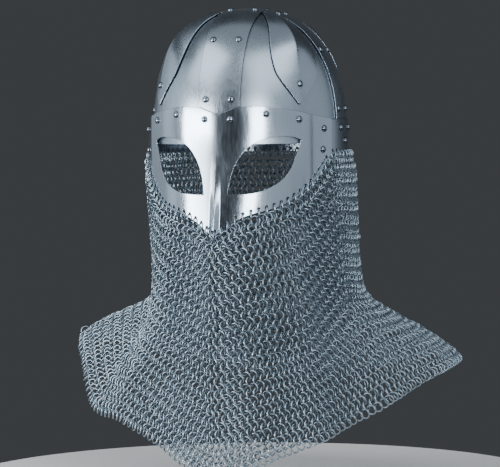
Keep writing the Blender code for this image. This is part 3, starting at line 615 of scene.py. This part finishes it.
def band_lace_centres():
    """Lacing holes of the rim band, between the mask's two rear edges."""
    first = math.radians(MASK_SWEEP) * WRAP_RADIUS + LACE_EDGE
    last = 2 * math.pi * WRAP_RADIUS - first
    count = round((last - first) / LACE_PITCH)
    height = BAND_BOTTOM + LACE_EDGE
    return [(first + (last - first) * index / count, height) for index in range(count + 1)]


def resample(loop, step):
    """A closed outline with its corners kept and no two points further apart than a step."""
    loop = np.array(loop, float)
    dense = []
    for start, end in zip(loop, np.roll(loop, -1, axis=0)):
        count = max(1, math.ceil(np.linalg.norm(end - start) / step))
        dense += [start + (end - start) * index / count for index in range(count)]
    return np.array(dense)


def inset(loop, distance):
    """An outline moved to its left, and the direction in which each point moved."""
    after = unit(np.roll(loop, -1, axis=0) - loop)
    left = np.stack((-after[:, 1], after[:, 0]), axis=1)
    inward = unit(left + np.roll(left, 1, axis=0))
    mitre = 1 / np.maximum(0.5, (inward * left).sum(axis=1, keepdims=True))
    return loop + inward * mitre * distance, inward


def within(points, loops):
    """Which points lie inside the first outline and outside the others, by counting crossings."""
    odd = np.zeros(len(points), bool)
    x, y = points[:, 0][:, None], points[:, 1][:, None]
    for loop in loops:
        x0, y0 = loop.T
        x1, y1 = np.roll(loop, -1, axis=0).T
        spans = (y0 > y) != (y1 > y)
        rise = np.where(y1 == y0, 1.0, y1 - y0)
        crossings = spans & (x < x0 + (y - y0) * (x1 - x0) / rise)
        odd ^= crossings.sum(axis=1) % 2 == 1
    return odd


def inner_points(loops, cell, lines):
    """Grid points inside the outlines and clear of them, with points along chosen upright lines."""
    low, high = loops[0].min(axis=0), loops[0].max(axis=0)
    across, upward = [np.arange(low[axis] + cell / 2, high[axis], cell) for axis in (0, 1)]
    x, y = np.meshgrid(across, upward)
    grid = np.stack((x.ravel(), y.ravel()), axis=1)
    if lines:
        grid = grid[np.abs(grid[:, 0]) > max(lines) + cell / 3]
        along = np.arange(low[1] + cell / 4, high[1], cell / 2)
        extra = [stack(sign * line, along) for line in lines for sign in ((1, -1) if line else (1,))]
        grid = np.concatenate([grid] + extra)
    grid = grid[within(grid, loops)]
    edge = np.concatenate(loops)
    near = np.array([np.min(np.hypot(*(edge - point).T)) for point in grid])
    return grid[near > cell * CELL_CLEARANCE]


def flat_mesh(loops, cell, lines):
    """Triangles over the inset outlines, and where each outline's points went."""
    points = np.concatenate(loops + [inner_points(loops, cell, lines)])
    edges = []
    start = 0
    for loop in loops:
        count = len(loop)
        edges += [(start + index, start + (index + 1) % count) for index in range(count)]
        start += count
    result = delaunay_2d_cdt([Vector(point) for point in points], edges, [], 0, MERGE_DISTANCE)
    flat = np.array([tuple(point) for point in result[0]])
    triangles = np.array(result[2])
    triangles = triangles[within(flat[triangles].mean(axis=1), loops)]
    moved = np.zeros(len(points), int)
    for index, sources in enumerate(result[3]):
        moved[sources] = index
    return flat, triangles, moved


def plate(name, loops, bend, low, high, cell=CELL, lines=(), scale=(1.0, 1.0)):
    """A bent plate with bevelled edges. Its outlines have the material on their left."""
    outer = [resample(loop, EDGE_STEP) for loop in loops]
    insets = [inset(loop, BEVEL) for loop in outer]
    flat, triangles, moved = flat_mesh([loop for loop, _ in insets], cell, lines)
    count = len(flat)
    edge = np.concatenate(outer)
    inward = np.concatenate([direction for _, direction in insets])
    x = np.concatenate((flat[:, 0], flat[:, 0], edge[:, 0], edge[:, 0])) / scale[0]
    y = np.concatenate((flat[:, 1], flat[:, 1], edge[:, 1], edge[:, 1])) / scale[1]
    heights = (high, low, high - BEVEL, low + BEVEL)
    z = np.repeat(heights, (count, count, len(edge), len(edge)))
    places = bend(x, y, z)
    step_x, step_y = SLOPE_STEP / scale[0], SLOPE_STEP / scale[1]
    turn_x = bend(x + step_x, y, z) - bend(x - step_x, y, z)
    turn_y = bend(x, y + step_y, z) - bend(x, y - step_y, z)
    normals = unit(np.cross(turn_x, turn_y))
    normals[count:2 * count] *= -1
    sides = -(unit(turn_x[2 * count:]) * np.tile(inward[:, :1], (2, 1))
              + unit(turn_y[2 * count:]) * np.tile(inward[:, 1:], (2, 1)))
    normals[2 * count:] = unit(sides)
    faces = triangles.tolist() + (triangles[:, ::-1] + count).tolist()
    start = 0
    for loop in outer:
        here = start + np.arange(len(loop))
        after = start + (np.arange(len(loop)) + 1) % len(loop)
        top, next_top = 2 * count + here, 2 * count + after
        bottom, next_bottom = top + len(edge), next_top + len(edge)
        for strip in ((top, next_top, moved[after], moved[here]), (bottom, next_bottom, next_top, top),
                      (moved[here] + count, moved[after] + count, next_bottom, bottom)):
            faces += np.stack(strip, axis=1).tolist()
        start += len(loop)
    places[:, 2] += RIM_LEVEL
    mesh = bpy.data.meshes.new(name)
    mesh.from_pydata(places.tolist(), [], faces)
    mesh.shade_smooth()
    mesh.normals_split_custom_set_from_vertices(normals.tolist())
    return new_piece(name, mesh)


def new_piece(name, mesh):
    piece = bpy.data.objects.new(name, mesh)
    bpy.context.scene.collection.objects.link(piece)
    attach(piece, "root")
    return piece


def finish(piece, material, slot, *nodes):
    piece.data.materials.append(material)
    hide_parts(*nodes)


def rectangle(x0, x1, y0, y1):
    return [(x0, y0), (x1, y0), (x1, y1), (x0, y1)]


def add_node(tree, kind, inputs, **settings):
    """A new node, with each input set to a value or linked to another node's output."""
    node = tree.nodes.new(kind)
    for name, value in settings.items():
        setattr(node, name, value)
    for name, value in inputs.items():
        if isinstance(value, bpy.types.NodeSocket):
            tree.links.new(value, node.inputs[name])
        else:
            node.inputs[name].default_value = value
    return node


def steel(name):
    """Brushed steel: fine streaks, broad smudges, small dents in its shine, and painted shade darkening
    its seams and crevices.
    """
    colour, roughness, smudge, stretch = STEELS[name]
    material = bpy.data.materials.new(name)
    material.use_nodes = True
    tree = material.node_tree
    place = tree.nodes.new("ShaderNodeTexCoord").outputs["Object"]

    def noise(scale, stretch, detail):
        mapping = add_node(tree, "ShaderNodeMapping", {"Scale": stretch, "Vector": place})
        inputs = {"Scale": scale, "Detail": detail, "Vector": mapping.outputs["Vector"]}
        return add_node(tree, "ShaderNodeTexNoise", inputs).outputs["Fac"]

    def spread(factor, low, high, limits=NOISE_RANGE):
        inputs = {"Value": factor, "From Min": limits[0], "From Max": limits[1]}
        inputs |= {"To Min": low, "To Max": high}
        return add_node(tree, "ShaderNodeMapRange", inputs).outputs["Result"]

    def add(first, second):
        return add_node(tree, "ShaderNodeMath", {0: first, 1: second}).outputs["Value"]

    def mix(factor, first, second):
        inputs = {"Factor": factor, "A": first, "B": second}
        return add_node(tree, "ShaderNodeMix", inputs, data_type="RGBA").outputs["Result"]

    def tint(share):
        return (*[value * share for value in colour], 1.0)

    fine = noise(STREAK_SCALE, stretch, STREAK_DETAIL)
    broad = noise(SMUDGE_SCALE, (1.0, 1.0, 1.0), SMUDGE_DETAIL)
    shine = add(spread(fine, roughness - STREAK_ROUGHNESS, roughness + STREAK_ROUGHNESS),
                spread(broad, -smudge / 2, smudge / 2))
    paleness = add(spread(broad, 0.0, SMUDGE_SHARE), spread(fine, 0.0, STREAK_SHARE))
    # painted shade: ambient occlusion darkens the base colour in seams, under plate edges and where links
    # cross
    seam_shade = add_node(tree, "ShaderNodeAmbientOcclusion", {"Distance": SEAM_SHADE_REACH}, samples=SEAM_SHADE_SAMPLES)
    unshaded = spread(seam_shade.outputs["AO"], 0.0, 1.0, SEAM_SHADE_RANGE)
    relief = {"Strength": DENT_STRENGTH, "Distance": DENT_DEPTH, "Height": add(fine, broad)}
    shader = tree.nodes["Principled BSDF"]
    shader.inputs["Metallic"].default_value = 1.0
    tree.links.new(mix(unshaded, tint(SEAM_SHADE_TINT), mix(paleness, tint(DARK_TINT), tint(PALE_TINT))),
                   shader.inputs["Base Color"])
    tree.links.new(shine, shader.inputs["Roughness"])
    tree.links.new(add_node(tree, "ShaderNodeBump", relief).outputs["Normal"], shader.inputs["Normal"])
    return material


def make_panels():
    material = steel("panel_steel")
    outline = rectangle(0.0, PANEL_FLAT_WIDTH, 0.0, PANEL_FLAT_HEIGHT)
    for side, hand in HANDS:
        for back, end in ENDS:
            name = f"skull_panel_{end}_{hand}"
            piece = plate(name + "_skin", [outline], panel_bend(side, back), -PLATE, 0.0,
                          cell=PANEL_CELL, scale=(PANEL_FLAT_WIDTH, PANEL_FLAT_HEIGHT))
            finish(piece, material, "panel_steel", name)


def make_straps():
    material = steel("strap_steel")
    half_length = profile_curve(SKULL_HALF_LENGTH)[3][-1] + STRAP_SKIRT
    half = CROWN_STRAP_WIDTH / 2
    piece = plate("crown_strap_skin", [rectangle(-half, half, -half_length, half_length)],
                  crown_strap_bend, STRAP_LOW, STRAP_HIGH)
    finish(piece, material, "strap_steel", "crown_strap")
    _, out, _, lengths = profile_curve(SKULL_HALF_WIDTH)
    top = float(np.interp(-(half + BUTT_GAP), -out, lengths))
    half = SIDE_STRAP_WIDTH / 2
    for side, hand in HANDS:
        piece = plate(f"side_strap_{hand}_skin", [rectangle(-half, half, -STRAP_SKIRT, top)],
                      side_strap_bend(side), STRAP_LOW, STRAP_HIGH)
        finish(piece, material, "strap_steel", "side_strap_" + hand)


def make_leaves():
    material = steel("leaf_steel")
    half = LEAF_FLAT_HALF_WIDTH
    outline = rectangle(-half, half, 0.0, LEAF_LENGTH)
    crest = [half * LEAF_CREST * step for step in LEAF_LINES]
    for side, hand in HANDS:
        for back, end in ENDS:
            name = f"leaf_{end}_{hand}"
            piece = plate(name + "_skin", [outline], leaf_bend(side, back), LEAF_LOW, LEAF_HIGH,
                          lines=crest, scale=(half, LEAF_LENGTH))
            finish(piece, material, "leaf_steel", name)


def make_rim_band():
    material = steel("band_steel")
    start = math.radians(BAND_START_ANGLE) * WRAP_RADIUS
    whole = 2 * math.pi * WRAP_RADIUS
    overlap = [(x, y) for x, y in mask_lace_centres() if x > start - LACE_PITCH]
    centres = band_lace_centres() + overlap + [(whole - x, y) for x, y in overlap]
    clear = LACE_HOLE_RADIUS + 2 * BEVEL
    loops = [rectangle(start, whole - start, BAND_BOTTOM, BAND_TOP)]
    loops += [hole_outline(x, y) for x, y in centres
              if start + clear < x < whole - start - clear and y > BAND_BOTTOM + clear]
    piece = plate("rim_band_skin", loops, band_bend, BAND_LOW, BAND_HIGH)
    finish(piece, material, "band_steel", "rim_band")


def make_mask():
    material = steel("mask_steel")
    outline = mirrored(mask_edge(MASK_LOWER, -1, CURVE_STEPS))
    outline += mirrored(mask_edge(MASK_UPPER, 1, CURVE_STEPS))[::-1]
    right = mask_lace_centres()
    loops = [outline, eye_outline(1), eye_outline(-1)]
    loops += [hole_outline(x, y) for x, y in right] + [hole_outline(-x, y) for x, y in right]
    piece = plate("mask_skin", loops, mask_bend, BAND_LOW, BAND_HIGH, cell=MASK_CELL, lines=NOSE_LINES)
    finish(piece, material, "mask_steel", "mask")


def strap_rivet_angle(height, half_side):
    """Angle from a strap's middle line to its rivets at a height."""
    return math.asin(RIVET_HALF_SPACING / (half_side * float(skull_share(height))))


def quarter_rivets(side, back):
    """Names of the rivet nodes of one quarter, with their points on the skull and heights above it."""
    end, hand = dict(ENDS)[back], dict(HANDS)[side]

    def on_crown_strap(height):
        return skull_point(strap_rivet_angle(height, SKULL_HALF_WIDTH), height, 0.0)

    def on_side_strap(height):
        return skull_point(math.pi / 2 - strap_rivet_angle(height, SKULL_HALF_LENGTH), height, 0.0)

    places = [(f"crown_{row}_{end}_{hand}", on_crown_strap(share * SKULL_RISE), STRAP_HIGH)
              for row, share in CROWN_RIVETS]
    places += [(f"side_{row}_{hand}_{end}", on_side_strap(share * SKULL_RISE), STRAP_HIGH)
               for row, share in SIDE_RIVETS]
    side_reach = CROWN_STRAP_WIDTH / 2 + SIDE_TOP_RIVET_EDGE
    for name, x, y in ((f"crown_top_{end}_{hand}", RIVET_HALF_SPACING, CROWN_RIVET_REACH),
                       (f"side_top_{hand}_{end}", side_reach, RIVET_HALF_SPACING)):
        places.append((name, np.array((x, -y, skull_height(x, y))), STRAP_HIGH))
    rim = BROW_RIVET_HEIGHT if back < 0 else RIM_RIVET_HEIGHT
    places.append((f"rim_{end}_{hand}", on_crown_strap(rim), BAND_HIGH))
    places.append((f"rim_{hand}_{end}", on_side_strap(RIM_RIVET_HEIGHT), BAND_HIGH))
    placed = [("rivet_" + name, point * (side, -back, 1), height) for name, point, height in places]
    flat = np.array([(0.0, LEAF_RIVET_RISE / LEAF_LENGTH, LEAF_HIGH)])
    placed.append((f"rivet_leaf_{end}_{hand}", leaf_bend(side, back)(*flat.T)[0], 0.0))
    return placed


def rivet_places():
    places = []
    for side, hand in HANDS:
        for back, _ in ENDS:
            places += quarter_rivets(side, back)
        single = skull_point(side * math.pi / 2, -SINGLE_RIVET_DEPTH, 0.0)
        places.append(("rivet_rim_single_" + hand, single, BAND_HIGH))
        for row, angle, share in MASK_RIVETS:
            step = MASK_STEP * float(smooth_step(angle, MASK_STEP_START, MASK_STEP_END))
            point = skull_point(side * math.radians(angle), share * MASK_DROP, 0.0)
            places.append((f"rivet_mask_{row}_{hand}", point, BAND_HIGH + step))
    return places


def rivet_head(places):
    """One mesh of domed heads, each turned about the skull's normal at its place."""
    rings = np.linspace(0.0, math.pi / 2, RIVET_RINGS + 1)
    radius = np.append(RIVET_RADIUS * np.sin(rings), RIVET_RADIUS)
    height = np.append(RIVET_HEIGHT * np.cos(rings), -GAP)
    vertices, faces = [], []
    for point, normal in places:
        axes = Vector(normal).to_track_quat("Z", "Y").to_matrix()
        start = len(vertices)
        for reach, up in zip(radius[1:], height[1:]):
            for turn in full_turn(RIVET_SIDES):
                local = Vector((reach * math.cos(turn), reach * math.sin(turn), up))
                vertices.append(tuple(Vector(point) + axes @ local))
        top = len(vertices)
        vertices.append(tuple(Vector(point) + axes @ Vector((0.0, 0.0, height[0]))))
        for index in range(RIVET_SIDES):
            after = (index + 1) % RIVET_SIDES
            faces.append((start + index, start + after, top))
            for ring in range(RIVET_RINGS):
                low = start + ring * RIVET_SIDES
                below = low + RIVET_SIDES
                faces.append((below + index, below + after, low + after, low + index))
        lowest = start + RIVET_RINGS * RIVET_SIDES
        faces.append(tuple(lowest + index for index in reversed(range(RIVET_SIDES))))
    return vertices, faces


def make_rivets():
    material = steel("rivet_steel")
    groups = {}
    for name, point, height in rivet_places():
        group = "_".join(name.split("_")[:2])
        normal = skull_normal(point)
        place = point + normal * (height + GAP) + (0.0, 0.0, RIM_LEVEL)
        groups.setdefault(group, []).append((name, place, normal))
    for group, members in groups.items():
        mesh = bpy.data.meshes.new(group + "_heads")
        vertices, faces = rivet_head([(place, normal) for _, place, normal in members])
        mesh.from_pydata(vertices, [], faces)
        mesh.shade_smooth()
        mesh.set_sharp_from_angle(angle=math.radians(RIVET_SHARP_ANGLE))
        piece = new_piece(group + "_heads", mesh)
        finish(piece, material, "rivet_steel", *[name for name, _, _ in members])


def lower_edge(angle):
    """Heights of the helmet's lower edge at angles from the nose in degrees."""
    edge = np.array(mask_edge(MASK_LOWER, -1, LACE_CURVE_STEPS))
    turn = np.abs(wrapped(angle))
    mask_low = np.interp(np.radians(turn) * WRAP_RADIUS, edge[:, 0], edge[:, 1])
    low = np.where(turn < BAND_START_ANGLE, mask_low, np.minimum(mask_low, BAND_BOTTOM))
    return np.where(turn >= MASK_SWEEP, BAND_BOTTOM, low)


def mail_sections(angle):
    """Neck bend, hem and swell of the mail at angles in degrees, smooth between the table's rows."""
    angle = wrapped(angle)
    table = np.array(MAIL_SECTIONS)
    at, table = table[:, 0], table[:, 1:]
    row = np.clip(np.searchsorted(at, angle, side="right") - 1, 0, len(at) - 2)
    t = ((angle - at[row]) / (at[row + 1] - at[row]))[..., None]
    count = len(at) - 1
    before, start, end, after = [table[(row + step) % count] for step in (-1, 0, 1, 2)]
    values = curve_between(before, start, end, after, t)
    return [values[..., index] for index in range(table.shape[1])]


def fold_height(angle, down):
    """How far the mail stands out of its plain form, in ridges and grooves."""
    total = 0.0
    for fold_angle, half_width, start, full, share in MAIL_FOLDS:
        away = wrapped(angle - fold_angle)
        total = total + share * np.exp(-(away / half_width) ** 2) * smooth_step(down, start, full)
    return FOLD_HEIGHT * total


def mail_lines(angle):
    """Hanging edge, neck bend and hem of the mail at angles, its swell and its outward direction."""
    bend_reach, bend_depth, hem_reach, hem_depth, swell = mail_sections(angle)
    turn = np.radians(angle)
    outward = stack(np.sin(turn), -np.cos(turn), 0.0)
    low = lower_edge(angle)
    away = np.abs(wrapped(angle))
    step = MASK_STEP * smooth_step(away, MASK_STEP_START, MASK_STEP_END)
    top = skull_point(turn, low, BAND_LOW + PLATE / 2 + step)
    top[..., 1] -= mask_bulge(np.radians(away), low)
    top[..., 2] -= MAIL_HANG_GAP
    bend = outward * (bend_reach * NECK_REACH)[..., None]
    bend += stack(0.0, NECK_CENTRE_BACK, -bend_depth * NECK_DEPTH)
    hem = outward * (hem_reach * SHOULDER_REACH)[..., None]
    hem += stack(0.0, SHOULDER_CENTRE_BACK, -hem_depth * HEM_DEPTH)
    return top, bend, hem, swell, outward


def mail_point(angle, down):
    """Points of the mail at angles in degrees and shares of the way down."""
    top, bend, hem, swell, outward = mail_lines(angle)
    first, second = bend - top, hem - bend
    first_length = np.linalg.norm(first, axis=-1)
    second_length = np.linalg.norm(second, axis=-1)
    at = down * (first_length + second_length)
    beyond = at - first_length
    turned = (beyond + np.hypot(beyond, NECK_SOFTNESS)) / 2
    turned_at_top = (-first_length + np.hypot(first_length, NECK_SOFTNESS)) / 2
    turned = turned - turned_at_top * (1 - down)
    points = top + unit(first) * (at - turned)[..., None] + unit(second) * turned[..., None]
    share = np.clip(turned / second_length, 0.0, 1.0)
    normal = stack(0.0, 0.0, (second * outward).sum(axis=-1) / second_length)
    normal = normal - outward * (second[..., 2] / second_length)[..., None]
    lift = SHOULDER_SWELL * swell * 27 / 4 * share ** 2 * (1 - share)  # 27 / 4 makes its peak 1
    out = MAIL_OUTSET * smooth_step(at, 0.0, MAIL_OUTSET_RUN) + fold_height(angle, down)
    return points + normal * lift[..., None] + outward * out[..., None]


def mail_length(angle):
    top, bend, hem, _, _ = mail_lines(angle)
    return np.linalg.norm(bend - top, axis=-1) + np.linalg.norm(hem - bend, axis=-1)


def row_share(row, angle):
    """Share of the way down of a row of links, from the laced row to the hem."""
    length = mail_length(angle)
    first = FIRST_ROW_DROP / length
    last = 1 - (RING_RADIUS + WIRE_RADIUS) / length
    at = (row - 1) / (RING_ROWS - 2)
    away = wrapped(angle - SAG_ANGLE)
    sag = SAG_SHARE * np.exp(-(away / SAG_HALF_WIDTH) ** 2) * math.sin(math.pi * max(0.0, at)) ** 2
    return first + (last - first) * (at + sag)


def spaced(angle, row):
    """Angles moved along their row so that no two links stand too close."""
    for _ in range(SPACING_ROUNDS):
        wide = np.concatenate(([angle[-1] - 360.0], angle, [angle[0] + 360.0]))
        points = mail_point(wide, row_share(row, wide))
        gaps = np.linalg.norm(np.diff(points, axis=0), axis=1)
        pull = (gaps[1:] - gaps[:-1]) / (gaps[1:] + gaps[:-1])
        angle = angle + SPACING_PULL * pull * np.minimum(np.diff(wide)[1:], np.diff(wide)[:-1])
    return angle


def link_rows():
    """Angles of the links in each row. A row's links hang between those above, and where they
    would stand too far apart, one more hangs from a single link."""
    flat = mask_lace_centres()
    laced = [x for x, _ in flat] + [-x for x, _ in flat] + [x for x, _ in band_lace_centres()]
    angle = np.sort(wrapped(np.degrees(np.array(laced) / WRAP_RADIUS)))
    rows = [angle]
    for row in range(1, RING_ROWS):
        above = rows[-1]
        after = np.concatenate((above[1:], [above[0] + 360.0]))
        angle = (above + after) / 2
        points = mail_point(angle, row_share(row, angle))
        gaps = np.linalg.norm(np.roll(points, -1, axis=0) - points, axis=1)
        wanted = min(MOST_NEW_LINKS, gaps.sum() / LINK_PITCH - len(angle))
        chosen = []
        for index in np.argsort(-gaps, kind="stable"):
            apart = all(abs(index - other) > LEAST_LINKS_BETWEEN for other in chosen)
            if len(chosen) < wanted and apart:
                chosen.append(index)
        angle = np.sort(np.concatenate((angle, after[chosen])))
        rows.append(spaced(angle, row))
    return rows


def laced_links():
    """Centres and axes of the links that hang in the lacing holes."""
    right = np.array(mask_lace_centres())
    band = np.array(band_lace_centres())
    middle = (BAND_LOW + BAND_HIGH) / 2
    holes, turns = [], []
    for flat, bend in ((right, mask_bend), (right * (-1, 1), mask_bend), (band, band_bend)):
        holes.append(bend(*flat.T, np.full(len(flat), middle)))
        turns.append(flat[:, 0] / WRAP_RADIUS)
    turns = np.concatenate(turns)
    centres = np.concatenate(holes) - (0.0, 0.0, RING_RADIUS)
    outward = stack(np.sin(turns), -np.cos(turns), 0.0)
    down = np.tile((0.0, 0.0, -1.0), (len(turns), 1))
    return centres, outward, down


def hung_links(rows, random):
    """Centres and two axes in the plane of every link below the laced row."""
    centres, across, downward = [], [], []
    for row, angle in enumerate(rows[1:], 1):
        share = row_share(row, angle)
        points = mail_point(angle, share)
        before, after = [mail_point(turn, row_share(row, turn))
                         for turn in (angle - ALONG_STEP, angle + ALONG_STEP)]
        along = unit(after - before)
        fall = mail_point(angle, np.minimum(1.0, share + DOWN_STEP)) - mail_point(angle, share - DOWN_STEP)
        normal = unit(np.cross(along, -fall))
        down = unit(np.cross(along, normal))
        down = np.where((down * fall).sum(axis=1, keepdims=True) < 0, -down, down)
        lean = min(RING_LEAN, LEAN_PER_ROW * row)
        lean = np.radians((lean + random.normal(0.0, LEAN_JITTER, len(angle))) * (1 if row % 2 else -1))
        tilt = np.radians(RING_TILT + random.normal(0.0, TILT_JITTER, len(angle)))
        side = along * np.cos(lean)[:, None] + normal * np.sin(lean)[:, None]
        face = normal * np.cos(lean)[:, None] - along * np.sin(lean)[:, None]
        centres.append(points + random.normal(0.0, SHIFT_JITTER, (len(angle), 3)))
        across.append(side)
        downward.append(down * np.cos(tilt)[:, None] - face * np.sin(tilt)[:, None])
    return np.concatenate(centres), np.concatenate(across), np.concatenate(downward)


def loose_link():
    """A single link that hangs on one of the shoulder's links and stands up from the mail."""
    angle = np.array([LOOSE_LINK_ANGLE])
    centre = mail_point(angle, row_share(LOOSE_LINK_ROW, angle)) + (0.0, 0.0, LOOSE_LINK_RISE)
    turn = math.radians(LOOSE_LINK_TURN)
    return centre, np.array([(math.cos(turn), math.sin(turn), 0.0)]), np.array([(0.0, 0.0, -1.0)])


def link_mesh(name, centres, across, down):
    """One mesh of round links from their centres and two axes in each one's plane."""
    around = full_turn(RING_SEGMENTS)
    wire = full_turn(WIRE_SIDES)
    count = len(centres)
    axis = np.cross(across, down)
    reach = across[:, None] * np.cos(around)[:, None] + down[:, None] * np.sin(around)[:, None]
    places = (centres[:, None, None]
              + reach[:, :, None] * (RING_RADIUS + WIRE_RADIUS * np.cos(wire))[None, None, :, None]
              + axis[:, None, None] * (WIRE_RADIUS * np.sin(wire))[None, None, :, None])
    here = np.arange(RING_SEGMENTS)[:, None] * WIRE_SIDES
    after = (here + WIRE_SIDES) % (RING_SEGMENTS * WIRE_SIDES)
    side = np.arange(WIRE_SIDES)[None]
    turned = (side + 1) % WIRE_SIDES
    quads = np.stack((here + side, after + side, after + turned, here + turned), axis=-1).reshape(-1, 4)
    quads = quads[None] + (np.arange(count) * RING_SEGMENTS * WIRE_SIDES)[:, None, None]
    places = places.reshape(-1, 3) + (0.0, 0.0, RIM_LEVEL)
    mesh = bpy.data.meshes.new(name)
    mesh.from_pydata(places.tolist(), [], quads.reshape(-1, 4).tolist())
    mesh.shade_smooth()
    return mesh


def make_mail():
    material = steel("mail_steel")
    hung = hung_links(link_rows(), np.random.default_rng(LINK_SEED))
    links = zip(laced_links(), hung, loose_link())
    centres, across, down = [np.concatenate(parts) for parts in links]
    turn = np.arctan2(centres[:, 0], -(centres[:, 1] - NECK_CENTRE_BACK))
    sector = ((turn + math.pi) / (2 * math.pi) * SECTORS).astype(int) % SECTORS
    for index in range(SECTORS):
        chosen = sector == index
        name = f"mail_links_{index + 1}"
        piece = new_piece(name, link_mesh(name, centres[chosen], across[chosen], down[chosen]))
        finish(piece, material, "mail_steel", "aventail")


def make_camera():
    """The photo's camera: it faces the rim's centre, then tips down until that lies at its height."""
    turn, rise = math.radians(CAMERA_AZIMUTH), math.radians(CAMERA_ELEVATION)
    away = Vector((math.sin(turn) * math.cos(rise), -math.cos(turn) * math.cos(rise), math.sin(rise)))
    level = Vector((math.cos(turn), math.sin(turn), 0.0))
    upright = away.cross(level)
    roll = math.radians(CAMERA_ROLL)
    right = level * math.cos(roll) - upright * math.sin(roll)
    up = level * math.sin(roll) + upright * math.cos(roll)
    tip = math.atan((PHOTO_HEIGHT_PX / 2 - RIM_CENTRE_PX_Y) / CAMERA_FOCAL_PX)
    ahead = -away * math.cos(tip) - up * math.sin(tip)
    up = up * math.cos(tip) - away * math.sin(tip)
    camera = bpy.data.objects.new("camera", bpy.data.cameras.new("camera"))
    camera.data.sensor_fit = "HORIZONTAL"
    camera.data.sensor_width = SENSOR_WIDTH_MM
    camera.data.lens = CAMERA_FOCAL_PX / PHOTO_WIDTH_PX * SENSOR_WIDTH_MM
    place = Matrix.Translation(Vector((0.0, 0.0, RIM_LEVEL)) + away * CAMERA_DISTANCE)
    camera.matrix_world = place @ Matrix((right, up, -ahead)).transposed().to_4x4()
    bpy.context.scene.collection.objects.link(camera)
    bpy.context.scene.camera = camera


def make_lights():
    for name, place, target, size, power, colour in LIGHTS:
        light = bpy.data.objects.new(name, bpy.data.lights.new(name, "AREA"))
        light.data.shape = "RECTANGLE"
        light.data.size, light.data.size_y = size
        light.data.energy = power
        light.data.color = colour
        light.location = place
        light.rotation_euler = (Vector(target) - Vector(place)).to_track_quat("-Z", "Y").to_euler()
        bpy.context.scene.collection.objects.link(light)


def make_floor():
    level = RIM_LEVEL - HEM_DEPTH - FLOOR_DROP
    mesh = bpy.data.meshes.new("floor")
    corners = [(FLOOR_RADIUS * math.cos(turn), FLOOR_RADIUS * math.sin(turn), level)
               for turn in full_turn(FLOOR_SIDES)]
    mesh.from_pydata(corners, [], [tuple(range(FLOOR_SIDES))])
    material = bpy.data.materials.new("floor_paper")
    material.use_nodes = True
    shader = material.node_tree.nodes["Principled BSDF"]
    shader.inputs["Base Color"].default_value = FLOOR_COLOUR
    shader.inputs["Roughness"].default_value = FLOOR_ROUGHNESS
    mesh.materials.append(material)
    ground = bpy.data.objects.new("floor", mesh)
    bpy.context.scene.collection.objects.link(ground)


def make_surround():
    """A dim surround, dark enough to tell the links from their openings."""
    world = bpy.data.worlds.new("studio")
    world.use_nodes = True
    background = world.node_tree.nodes["Background"]
    background.inputs["Color"].default_value = SURROUND_COLOUR
    background.inputs["Strength"].default_value = SURROUND_STRENGTH
    bpy.context.scene.world = world


make_camera()
make_floor()
make_surround()
make_lights()
make_panels()
make_straps()
make_leaves()
make_rim_band()
make_mask()
make_rivets()
make_mail()
